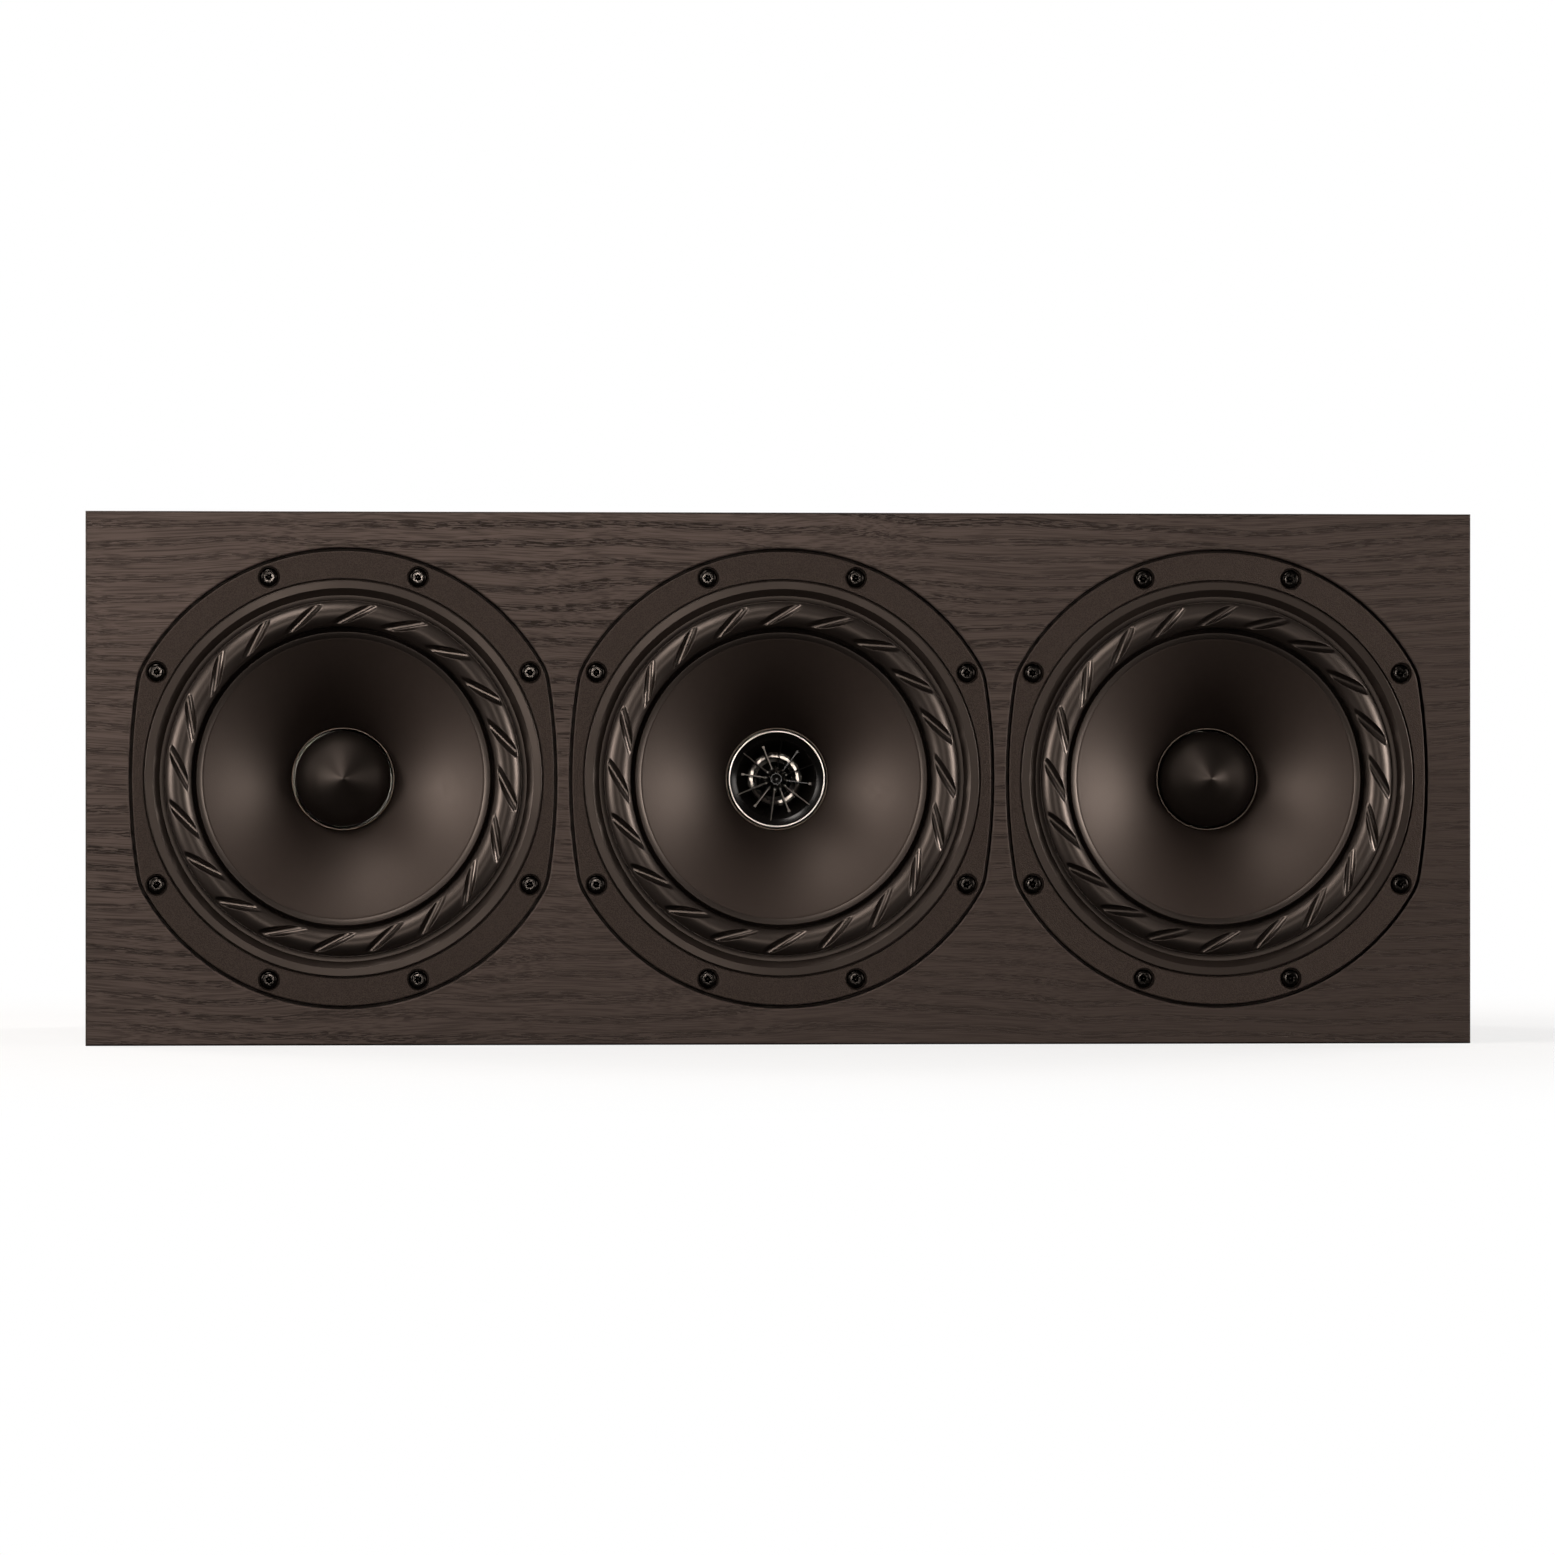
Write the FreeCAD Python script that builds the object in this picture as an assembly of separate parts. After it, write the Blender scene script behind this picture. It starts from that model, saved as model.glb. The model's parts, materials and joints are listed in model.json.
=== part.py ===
import FreeCAD, Part
import math
import os

# A horizontal loudspeaker for the left, centre or right of a home cinema: a veneered box with a
# coaxial driver between two bass-midrange drivers, all set flush into one baffle.
# Millimetres. X runs to the right seen from the front, Y from front to back, and Z is up.
# The origin is the middle of the underside.
# A driver is made on the Y axis, with depths counted back from the front of the baffle.

V = FreeCAD.Vector
ALONG_X = V(1, 0, 0)
ALONG_Y = V(0, 1, 0)
ALONG_Z = V(0, 0, 1)

# Driver flange: a disc with two bulged flat sides, screwed into a recess
flange_land = 10.6
flange_flat = 6.6
flange_side_radius = 243.0
flange_corner_round = 20.0
flange_thickness = 6.0
flange_gap = 1.3
flange_edge_round = 0.5
gasket_thickness = 1.0
gasket_inset = 1.5

# Cabinet, sized around the drivers
edge_margin = 14.2
end_margin = 16.9
driver_land = 4.6
cabinet_depth = 260.0
panel_thickness = 18.0
baffle_thickness = 22.0
brace_thickness = 15.0
brace_rim = 32.0
brace_window_round = 15.0
edge_round = 0.8
cutout_gap = 1.5

# Driver screws: four at the top and four at the bottom, by their angle from the vertical
screw_inset = 5.0
screw_angles = (20.3, 60.3)
screw_head_radius = 3.6
screw_head_height = 3.4
screw_head_sink = 0.5
screw_head_round = 0.6
screw_head_gap = 0.75
screw_shank_radius = 2.0
screw_shank_length = 16.0
screw_hole_gap = 0.15
socket_radius = 1.45
socket_lobe_radius = 0.45
socket_depth = 2.0

# Trim ring over the edge of the surround
trim_land = 2.2
trim_width = 5.8
trim_slope_width = 2.6
trim_slope_depth = 2.4
trim_thickness = 3.0
trim_gap = 0.8

# Surround: a rubber roll with slanted flutes
rubber = 1.0
foot_inner_radius = 55.2
foot_width = 4.4
roll_radius = 5.0
roll_foot_drop = 2.0
surround_edge_gap = 0.2
flute_count = 20
flute_tilt = 32.0
flute_depth = 2.7
flute_floor = 0.7
flute_flank = 27.0
flute_half_length = 14.0

# Cone and voice coil
glue = 0.2
cone_thickness = 1.0
cone_rim_width = 4.0
cone_depth = 27.0
cone_bow = 2.2
former_radius = 20.3
former_wall = 0.5
former_lip = 0.6
winding_thickness = 0.8
winding_length = 12.0
coil_clearance = 0.6

# Spider: a corrugated disc
spider_drop = 11.0
spider_thickness = 0.8
spider_outer_radius = 49.0
spider_land = 4.0
spider_waves = 5
spider_wave_height = 1.6

# Basket behind the flange
basket_wall = 4.0
basket_throat_step = 1.3
basket_neck_depth = 16.0
basket_cup_depth = 10.0
basket_floor = 4.0
basket_floor_hole = 24.0
basket_legs = 6
basket_window_angle = 36.0
basket_window_margin = 4.0

# Motor
plate_radius = 46.0
plate_thickness = 6.0
magnet_outer_radius = 50.0
magnet_inner_radius = 27.0
magnet_thickness = 18.0
yoke_thickness = 6.0
pole_vent_radius = 5.0

# Bullet phase plugs
plug_clearance = 0.9
plug_apex_depth = 18.0
plug_shoulder_depth = 31.0
plug_tip_radius = 13.5
plug_tip_rise = 8.0
plug_shoulder_bow = 0.9

# Tweeter in the pole of the centre driver
horn_wall = 1.0
horn_throat_radius = 10.0
horn_throat_depth = 15.0
horn_bow = 1.6
horn_mouth_gap = 0.6
fin_count = 12
fin_thickness = 0.6
fin_inner_radius = 1.5
fin_mouth_gap = 1.0
fin_hub_drop = 0.6
short_fin_drop = 3.0
fin_first_angle = 8.0
hub_radius = 2.3
hub_base_radius = 7.0
hub_base_gap = 1.5
hub_sink = 3.5
tweeter_flange = 2.0
dome_radius = 12.5
dome_rise = 4.0
dome_thickness = 0.5
dome_edge = 1.5
dome_sink = 5.0
cup_wall = 2.0
cup_depth = 20.0
cup_gap = 0.1
tweeter_magnet_radius = 10.0
tweeter_magnet_thickness = 8.0

# Reflex ports in the back
port_radius = 24.0
port_wall = 2.5
port_length = 120.0
port_flare = 10.0
port_lip = 3.0
port_hole_gap = 0.3

# Terminal plate and binding posts
terminal_width = 96.0
terminal_height = 56.0
terminal_thickness = 4.0
terminal_corner = 8.0
terminal_screw_inset = 8.0
terminal_screw_head_radius = 3.6
terminal_screw_head_height = 2.2
terminal_screw_radius = 1.75
terminal_screw_length = 16.0
terminal_hole_margin = 16.0
post_spacing = 19.0
post_radius = 3.0
post_collar_radius = 6.8
post_collar_height = 3.0
post_length = 15.0
post_tail = 14.0
post_nut_radius = 5.2
post_nut_height = 3.0
banana_radius = 2.05
banana_depth = 13.0
washer_thickness = 1.0
washer_radius = 6.2
knob_radius = 7.4
knob_length = 14.5
knob_bore_gap = 0.08
knob_flutes = 12
knob_flute_radius = 1.1
knob_edge = 0.8

# Crossover on the floor of the box
board_width = 130.0
board_depth = 92.0
board_thickness = 1.6
board_standoff = 8.0
board_standoff_radius = 4.0
board_corner_inset = 8.0
board_back_gap = 20.0
coil_outer_radius = 19.0
coil_inner_radius = 8.0
coil_height = 18.0
coil_spacing = 46.0
capacitor_radius = 8.0
capacitor_length = 30.0
capacitor_spacing = 19.0
capacitor_gap = 3.0
capacitor_count = 4

# Hook-up leads
lead_radius = 1.6
lead_bend = 7.0
lead_board_rise = 9.0
lead_board_inset = 6.0
lead_side_run = 14.0

# Radii that follow, from the cone out to the flange
roll_centre = foot_inner_radius + foot_width + roll_radius
trim_inner_radius = roll_centre + roll_radius + trim_land
trim_outer_radius = trim_inner_radius + trim_width
flange_radius = trim_outer_radius + trim_gap + flange_land
flange_half_width = flange_radius - flange_flat
screw_circle = flange_radius - screw_inset
basket_throat_radius = trim_inner_radius - basket_throat_step

# Cabinet sizes and places that follow
recess_half_width = flange_half_width + flange_gap
recess_depth = flange_thickness + gasket_thickness
driver_pitch = 2 * recess_half_width + driver_land
cabinet_width = 2 * (driver_pitch + recess_half_width + end_margin)
cabinet_height = 2 * (flange_radius + flange_gap + edge_margin)
front_y = -cabinet_depth / 2
back_y = cabinet_depth / 2
axis_z = cabinet_height / 2
cutout_radius = basket_throat_radius + basket_wall + cutout_gap
driver_places = {"left": -driver_pitch, "centre": 0.0, "right": driver_pitch}
flute_first_angles = {"left": 4.5, "centre": 0.0, "right": 0.3}

# Depths and radii inside a driver
roll_base = trim_thickness
surround_seat = roll_base + rubber
foot_depth = roll_base + roll_foot_drop
cone_top = foot_depth + rubber + glue
neck_depth = cone_top + cone_depth
former_front = neck_depth - former_lip
former_bore = former_radius - former_wall
spider_depth = neck_depth + spider_drop
motor_depth = spider_depth + basket_cup_depth
winding_depth = motor_depth + (plate_thickness - winding_length) / 2
magnet_depth = motor_depth + plate_thickness
yoke_depth = magnet_depth + magnet_thickness
yoke_back = yoke_depth + yoke_thickness
pole_radius = former_bore - coil_clearance
gap_radius = former_radius + winding_thickness + coil_clearance
plug_radius = former_bore - plug_clearance
horn_mouth_depth = former_front - horn_mouth_gap
cup_radius = dome_radius + dome_edge + cup_wall
tweeter_seat = motor_depth - tweeter_flange
dome_seat = tweeter_seat + dome_sink
cup_end = motor_depth + cup_depth

# Places of the posts and the crossover
post_places = (post_spacing / 2, -post_spacing / 2)
board_top = panel_thickness + board_standoff + board_thickness
board_back = back_y - panel_thickness - board_back_gap
board_front = board_back - board_depth


def turned(points, angle=360.0):
    """A solid of revolution about the driver axis, from (radius, depth) points."""
    corners = [V(radius, depth, 0) for radius, depth in points]
    face = Part.Face(Part.makePolygon(corners + corners[:1]))
    return face.revolve(V(), ALONG_Y, angle)


def turned_edges(edges):
    """A solid of revolution about the driver axis, from edges in the radius-depth plane."""
    wire = Part.Wire(Part.__sortEdges__(edges))
    return Part.Face(wire).revolve(V(), ALONG_Y, 360.0)


def line(start, end):
    return Part.makeLine(V(*start, 0), V(*end, 0))


def arc(start, middle, end):
    return Part.Arc(V(*start, 0), V(*middle, 0), V(*end, 0)).toShape()


def bowed(start, end, bow):
    """An arc whose middle lies off the straight line from start to end by bow, to its left."""
    run = (end[0] - start[0], end[1] - start[1])
    length = math.hypot(*run)
    middle = (
        (start[0] + end[0]) / 2 - bow * run[1] / length,
        (start[1] + end[1]) / 2 + bow * run[0] / length,
    )
    return arc(start, middle, end)


def rod(radius, start, end, x=0.0, z=0.0):
    return Part.makeCylinder(radius, end - start, V(x, start, z), ALONG_Y)


def ring(inner, outer, start, end):
    return rod(outer, start, end).cut(rod(inner, start, end))


def block(x_range, y_range, z_range):
    ranges = (x_range, y_range, z_range)
    corner = V(*[start for start, end in ranges])
    return Part.makeBox(*[end - start for start, end in ranges], corner)


def rounded_block(x_range, y_range, z_range, radius, axis):
    """A box with the four edges along one axis rounded."""
    shape = block(x_range, y_range, z_range)
    edges = [e for e in shape.Edges if abs(e.tangentAt(e.FirstParameter).dot(axis)) > 0.5]
    return shape.makeFillet(radius, edges)


def spun(shape, angle):
    """A copy turned clockwise, seen from the front, about the driver axis."""
    copy = shape.copy()
    copy.rotate(V(), ALONG_Y, angle)
    return copy


def moved(shape, x=0.0, y=0.0, z=0.0):
    copy = shape.copy()
    copy.translate(V(x, y, z))
    return copy


def on_axis(shape, x):
    """Moves a driver piece from the Y axis to its place in the cabinet."""
    return moved(shape, x, front_y, axis_z)


def edges_on_plane(shape, y):
    """The edges that lie wholly on one plane across Y."""
    tiny = 1e-6
    return [e for e in shape.Edges if abs(e.BoundBox.YMin - y) < tiny and abs(e.BoundBox.YMax - y) < tiny]


def flange_outline(grow, start, end):
    """The flange's outline, grown on all sides, as a plate between two depths."""
    side_radius = flange_side_radius + grow
    offset = flange_side_radius - flange_half_width
    plate = rod(flange_radius + grow, start, end)
    for x in (offset, -offset):
        plate = plate.common(rod(side_radius, start, end, x))
    corners = [e for e in plate.Edges if abs(e.BoundBox.YLength - (end - start)) < 1e-6]
    return plate.makeFillet(flange_corner_round + grow, corners)


def screw_spots():
    """The (x, z) places of the eight screws about the driver axis."""
    spots = []
    for angle in screw_angles:
        x = screw_circle * math.sin(math.radians(angle))
        z = screw_circle * math.cos(math.radians(angle))
        spots += [(x, z), (-x, z), (x, -z), (-x, -z)]
    return spots


def make_front_baffle():
    half = cabinet_width / 2
    baffle = block((-half, half), (front_y, front_y + baffle_thickness), (0, cabinet_height))
    for x in driver_places.values():
        cuts = [flange_outline(flange_gap, 0, recess_depth), rod(cutout_radius, 0, baffle_thickness)]
        for spot in screw_spots():
            end = screw_head_sink + screw_head_height + screw_shank_length
            cuts.append(rod(screw_shank_radius + screw_hole_gap, recess_depth, end, *spot))
        baffle = baffle.cut([on_axis(cut, x) for cut in cuts])
    return baffle.makeFillet(edge_round, edges_on_plane(baffle, front_y))


def make_top_panel():
    half = cabinet_width / 2
    panel = block(
        (-half, half),
        (front_y + baffle_thickness, back_y),
        (cabinet_height - panel_thickness, cabinet_height),
    )
    upper = [e for e in panel.Edges if e.BoundBox.ZMin > cabinet_height - edge_round]
    return panel.makeFillet(edge_round, [e for e in upper if e.BoundBox.YMax > back_y - edge_round])


def make_bottom_panel():
    return make_top_panel().mirror(V(0, 0, axis_z), ALONG_Z)


def make_side_panel(side):
    half = cabinet_width / 2
    panel = block(
        (half - panel_thickness, half),
        (front_y + baffle_thickness, back_y),
        (panel_thickness, cabinet_height - panel_thickness),
    )
    return panel if side > 0 else panel.mirror(V(), ALONG_X)


def make_back_panel():
    half = cabinet_width / 2 - panel_thickness
    panel = block(
        (-half, half),
        (back_y - panel_thickness, back_y),
        (panel_thickness, cabinet_height - panel_thickness),
    )
    for x in (-driver_pitch, driver_pitch):
        hole = rod(port_radius + port_wall + port_hole_gap, back_y - panel_thickness, back_y, x, axis_z)
        panel = panel.cut(hole)
    return panel.cut([terminal_hole()] + terminal_screw_holes())


def terminal_hole():
    half_x = terminal_width / 2 - terminal_hole_margin
    half_z = terminal_height / 2 - terminal_hole_margin
    z_range = (axis_z - half_z, axis_z + half_z)
    return block((-half_x, half_x), (back_y - panel_thickness, back_y), z_range)


def terminal_screw_spots():
    x = terminal_width / 2 - terminal_screw_inset
    z = terminal_height / 2 - terminal_screw_inset
    return [(sx * x, axis_z + sz * z) for sx in (-1, 1) for sz in (-1, 1)]


def terminal_screw_holes():
    end = back_y + terminal_thickness
    start = end - terminal_screw_length
    return [rod(terminal_screw_radius + screw_hole_gap, start, end, x, z) for x, z in terminal_screw_spots()]


def make_brace(side):
    """A window brace between two drivers, from the baffle to the back panel."""
    middle = side * driver_pitch / 2
    x_range = (middle - brace_thickness / 2, middle + brace_thickness / 2)
    y_range = (front_y + baffle_thickness, back_y - panel_thickness)
    z_range = (panel_thickness, cabinet_height - panel_thickness)
    window = rounded_block(
        x_range,
        (y_range[0] + brace_rim, y_range[1] - brace_rim),
        (z_range[0] + brace_rim, z_range[1] - brace_rim),
        brace_window_round,
        ALONG_X,
    )
    return block(x_range, y_range, z_range).cut(window)


def make_basket():
    """The cast frame: flange with its counterbored screw holes, windowed cone and motor seat."""
    flange = flange_outline(0, 0, flange_thickness)
    flange = flange.makeFillet(flange_edge_round, edges_on_plane(flange, 0))
    flange = flange.cut(rod(trim_outer_radius + trim_gap, 0, surround_seat))
    flange = flange.cut(rod(basket_throat_radius, 0, flange_thickness))
    head_seat = screw_head_sink + screw_head_height
    for spot in screw_spots():
        flange = flange.cut(rod(screw_head_radius + screw_head_gap, 0, head_seat, *spot))
        flange = flange.cut(rod(screw_shank_radius + screw_hole_gap, 0, flange_thickness, *spot))
    throat = basket_throat_radius
    cup_inner = spider_outer_radius - spider_land + glue
    seat_outer = spider_outer_radius + glue
    cup_outer = seat_outer + basket_wall
    cup_floor = motor_depth - basket_floor
    body = turned([
        (throat, surround_seat),
        (throat + basket_wall, surround_seat),
        (throat + basket_wall, basket_neck_depth),
        (cup_outer, spider_depth),
        (cup_outer, motor_depth),
        (basket_floor_hole, motor_depth),
        (basket_floor_hole, cup_floor),
        (cup_inner, cup_floor),
        (cup_inner, spider_depth),
        (seat_outer, spider_depth),
        (seat_outer, spider_depth - spider_thickness - glue),
        (throat, basket_neck_depth),
    ])
    window = turned(
        [
            (cup_inner, basket_neck_depth + basket_window_margin),
            (throat + basket_wall, basket_neck_depth + basket_window_margin),
            (throat + basket_wall, spider_depth - basket_window_margin),
            (cup_inner, spider_depth - basket_window_margin),
        ],
        basket_window_angle,
    )
    step = 360.0 / basket_legs
    body = body.cut([spun(window, step * i) for i in range(basket_legs)])
    return flange.fuse(body).removeSplitter()


def make_gasket():
    gasket = flange_outline(-gasket_inset, flange_thickness, recess_depth)
    gasket = gasket.cut(rod(cutout_radius, flange_thickness, recess_depth))
    for spot in screw_spots():
        gasket = gasket.cut(rod(screw_shank_radius + screw_hole_gap, flange_thickness, recess_depth, *spot))
    return gasket


def make_trim_ring():
    return turned([
        (trim_inner_radius + trim_slope_width, 0),
        (trim_outer_radius, 0),
        (trim_outer_radius, trim_thickness),
        (trim_inner_radius, trim_thickness),
        (trim_inner_radius, trim_slope_depth),
    ])


def make_driver_screw():
    head_end = screw_head_sink + screw_head_height
    head = rod(screw_head_radius, screw_head_sink, head_end)
    head = head.makeFillet(screw_head_round, edges_on_plane(head, screw_head_sink))
    socket_end = screw_head_sink + socket_depth
    head = head.cut(rod(socket_radius, screw_head_sink, socket_end))
    for lobe in range(6):
        angle = math.radians(60 * lobe)
        place = (socket_radius * math.cos(angle), socket_radius * math.sin(angle))
        head = head.cut(rod(socket_lobe_radius, screw_head_sink, socket_end, *place))
    return head.fuse(rod(screw_shank_radius, head_end, head_end + screw_shank_length)).removeSplitter()


def make_driver_screws():
    screw = make_driver_screw()
    places = [(x + sx, axis_z + sz) for x in driver_places.values() for sx, sz in screw_spots()]
    return Part.makeCompound([moved(screw, x, front_y, z) for x, z in places])


def half_roll(radius):
    """The roll filled down to its base."""
    inner = (roll_centre - radius, roll_base)
    outer = (roll_centre + radius, roll_base)
    return turned_edges([arc(inner, (roll_centre, roll_base - radius), outer), line(outer, inner)])


def flute_cutter(grow):
    """A prism that cuts one flute across the top of the roll, grown for the inside of the rubber."""
    slope = math.tan(math.radians(flute_flank))
    crest = roll_base - roll_radius
    floor = crest + flute_depth + grow
    half_floor = flute_floor + grow / math.cos(math.radians(flute_flank)) - grow * slope
    top = crest - roll_radius
    half_top = half_floor + (floor - top) * slope
    corners = [
        V(-half_floor, floor, -flute_half_length),
        V(half_floor, floor, -flute_half_length),
        V(half_top, top, -flute_half_length),
        V(-half_top, top, -flute_half_length),
    ]
    face = Part.Face(Part.makePolygon(corners + corners[:1]))
    prism = face.extrude(V(0, 0, 2 * flute_half_length))
    return moved(spun(prism, 90 - flute_tilt), z=roll_centre)


def fluted(shape, grow, first_angle):
    cutter = flute_cutter(grow)
    step = 360.0 / flute_count
    return shape.cut([spun(cutter, first_angle + step * i) for i in range(flute_count)])


def make_surround(name):
    first = flute_first_angles[name]
    outside = fluted(half_roll(roll_radius), 0.0, first)
    inside = fluted(half_roll(roll_radius - rubber), rubber, first)
    roll = outside.cut(inside)
    inner = roll_centre - roll_radius
    outer = roll_centre + roll_radius
    edge = turned([
        (outer - rubber, roll_base),
        (trim_outer_radius - surround_edge_gap, roll_base),
        (trim_outer_radius - surround_edge_gap, surround_seat),
        (outer - rubber, surround_seat),
    ])
    foot = turned([
        (inner, roll_base),
        (inner + rubber, roll_base),
        (inner + rubber, foot_depth + rubber),
        (foot_inner_radius, foot_depth + rubber),
        (foot_inner_radius, foot_depth),
        (inner, foot_depth),
    ])
    return roll.fuse([edge, foot]).removeSplitter()


def make_cone():
    """The cone: a flat rim under the surround's foot and a bowed wall down to the voice coil."""
    rim_outer = foot_inner_radius + cone_rim_width
    neck = former_radius + glue / 2
    back_neck = neck_depth + cone_thickness
    return turned_edges([
        line((rim_outer, cone_top), (foot_inner_radius, cone_top)),
        bowed((foot_inner_radius, cone_top), (neck, neck_depth), cone_bow),
        line((neck, neck_depth), (neck, back_neck)),
        bowed((neck, back_neck), (foot_inner_radius, cone_top + cone_thickness), -cone_bow),
        line((foot_inner_radius, cone_top + cone_thickness), (rim_outer, cone_top + cone_thickness)),
        line((rim_outer, cone_top + cone_thickness), (rim_outer, cone_top)),
    ])


def make_voice_coil():
    """A former with its winding, centred in the magnet gap."""
    winding_end = winding_depth + winding_length
    return turned([
        (former_bore, former_front),
        (former_radius, former_front),
        (former_radius, winding_depth),
        (former_radius + winding_thickness, winding_depth),
        (former_radius + winding_thickness, winding_end),
        (former_bore, winding_end),
    ])


def make_spider():
    inner = former_radius + glue
    wave_outer = spider_outer_radius - spider_land
    steps = 4 * spider_waves
    front = spider_depth - spider_thickness
    curve = []
    for i in range(steps + 1):
        radius = inner + (wave_outer - inner) * i / steps
        curve.append(V(radius, front - spider_wave_height * math.sin(math.pi / 2 * i), 0))
    wavy = Part.BSplineCurve()
    wavy.interpolate(curve)
    back = wavy.toShape().translated(V(0, spider_thickness, 0))
    land_outer = spider_outer_radius
    return turned_edges([
        wavy.toShape(),
        line((wave_outer, front), (land_outer, front)),
        line((land_outer, front), (land_outer, front + spider_thickness)),
        line((land_outer, front + spider_thickness), (wave_outer, front + spider_thickness)),
        back,
        line((inner, front + spider_thickness), (inner, front)),
    ])


def make_top_plate():
    return ring(gap_radius, plate_radius, motor_depth, magnet_depth)


def make_magnet():
    return ring(magnet_inner_radius, magnet_outer_radius, magnet_depth, yoke_depth)


def make_yoke(bore):
    """The back plate and pole in one, with a bore right through."""
    return turned([
        (bore, motor_depth),
        (pole_radius, motor_depth),
        (pole_radius, yoke_depth),
        (plate_radius, yoke_depth),
        (plate_radius, yoke_back),
        (bore, yoke_back),
    ])


def make_phase_plug():
    """A bullet: straight sides, a rounded shoulder and a pointed tip."""
    tip_edge = (plug_tip_radius, plug_apex_depth + plug_tip_rise)
    return turned_edges([
        line((0, motor_depth), (plug_radius, motor_depth)),
        line((plug_radius, motor_depth), (plug_radius, plug_shoulder_depth)),
        bowed((plug_radius, plug_shoulder_depth), tip_edge, plug_shoulder_bow),
        line(tip_edge, (0, plug_apex_depth)),
        line((0, plug_apex_depth), (0, motor_depth)),
    ])


def horn_inside(shrink):
    """The air inside the horn, from its mouth to its seat, less a margin at the wall."""
    mouth_inner = plug_radius - horn_wall - shrink
    throat_radius = horn_throat_radius - shrink
    throat = horn_mouth_depth + horn_throat_depth
    return turned_edges([
        line((0, horn_mouth_depth), (mouth_inner, horn_mouth_depth)),
        bowed((mouth_inner, horn_mouth_depth), (throat_radius, throat), horn_bow),
        line((throat_radius, throat), (throat_radius, tweeter_seat)),
        line((throat_radius, tweeter_seat), (0, tweeter_seat)),
        line((0, tweeter_seat), (0, horn_mouth_depth)),
    ])


def make_tweeter_horn():
    """The flared horn that stands on the tweeter cup inside the voice coil."""
    return rod(plug_radius, horn_mouth_depth, tweeter_seat).cut(horn_inside(0))


def fin(drop):
    """A blade on the +Z side, from the hub to beyond the horn wall, with a sloping front edge."""
    half = fin_thickness / 2
    base = tweeter_seat - hub_base_gap
    hub_front = horn_mouth_depth + hub_sink
    corners = [
        V(-half, hub_front + fin_hub_drop, fin_inner_radius),
        V(-half, horn_mouth_depth + fin_mouth_gap + drop, plug_radius),
        V(-half, base, plug_radius),
        V(-half, base, fin_inner_radius),
    ]
    return Part.Face(Part.makePolygon(corners + corners[:1])).extrude(V(fin_thickness, 0, 0))


def make_tweeter_phase_plug():
    """A hub with radial fins, alternately long and short, that reach the horn wall."""
    hub_front = horn_mouth_depth + hub_sink
    base = tweeter_seat - hub_base_gap
    plug = turned([
        (0, hub_front),
        (hub_radius, hub_front),
        (hub_base_radius, base),
        (0, base),
    ])
    step = 360.0 / fin_count
    blades = [spun(fin(short_fin_drop * (i % 2)), fin_first_angle + step * i) for i in range(fin_count)]
    return plug.fuse(blades).common(horn_inside(glue)).removeSplitter()


def dome_arc(edge_depth):
    """The dome's arc from its edge to its middle."""
    sphere = (dome_radius ** 2 + dome_rise ** 2) / (2 * dome_rise)
    half_angle = math.asin(dome_radius / sphere) / 2
    middle = (sphere * math.sin(half_angle), edge_depth - dome_rise + sphere * (1 - math.cos(half_angle)))
    return arc((dome_radius, edge_depth), middle, (0, edge_depth - dome_rise))


def make_tweeter_dome():
    rim = dome_radius + dome_edge
    front = dome_seat - dome_thickness
    return turned_edges([
        dome_arc(front),
        line((0, front - dome_rise), (0, dome_seat - dome_rise)),
        dome_arc(dome_seat),
        line((dome_radius, dome_seat), (rim, dome_seat)),
        line((rim, dome_seat), (rim, front)),
        line((rim, front), (dome_radius, front)),
    ])


def make_tweeter_cup():
    """The cup that hangs by its flange in the bore of the centre pole."""
    floor = cup_end - cup_wall
    dome_hole = dome_radius + dome_edge + glue
    return turned([
        (plug_radius, tweeter_seat),
        (plug_radius, motor_depth),
        (cup_radius, motor_depth),
        (cup_radius, cup_end),
        (0, cup_end),
        (0, floor),
        (dome_radius, floor),
        (dome_radius, dome_seat),
        (dome_hole, dome_seat),
        (dome_hole, tweeter_seat),
    ])


def make_tweeter_magnet():
    floor = cup_end - cup_wall
    return rod(tweeter_magnet_radius, floor - tweeter_magnet_thickness, floor)


def make_port_tube(x):
    """A plain tube with a flared, flanged mouth on the back of the box."""
    outer = port_radius + port_wall
    flange = outer + port_flare
    mouth = back_y + port_lip
    inner_end = mouth - port_length
    flare_start = mouth - port_flare
    corner = port_radius + port_flare
    bend = port_flare * math.cos(math.radians(45))
    tube = turned_edges([
        line((port_radius, flare_start), (port_radius, inner_end)),
        line((port_radius, inner_end), (outer, inner_end)),
        line((outer, inner_end), (outer, back_y)),
        line((outer, back_y), (flange, back_y)),
        line((flange, back_y), (flange, mouth - port_wall / 2)),
        line((flange, mouth - port_wall / 2), (corner, mouth)),
        arc((corner, mouth), (corner - bend, flare_start + bend), (port_radius, flare_start)),
    ])
    return moved(tube, x, 0, axis_z)


def make_terminal_plate():
    half_x = terminal_width / 2
    half_z = terminal_height / 2
    plate = rounded_block(
        (-half_x, half_x),
        (back_y, back_y + terminal_thickness),
        (axis_z - half_z, axis_z + half_z),
        terminal_corner,
        ALONG_Y,
    )
    outside = back_y + terminal_thickness
    plate = plate.makeChamfer(edge_round, edges_on_plane(plate, outside))
    posts = [rod(post_radius + screw_hole_gap, back_y, outside, x, axis_z) for x in post_places]
    return plate.cut(posts + terminal_screw_holes())


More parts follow.
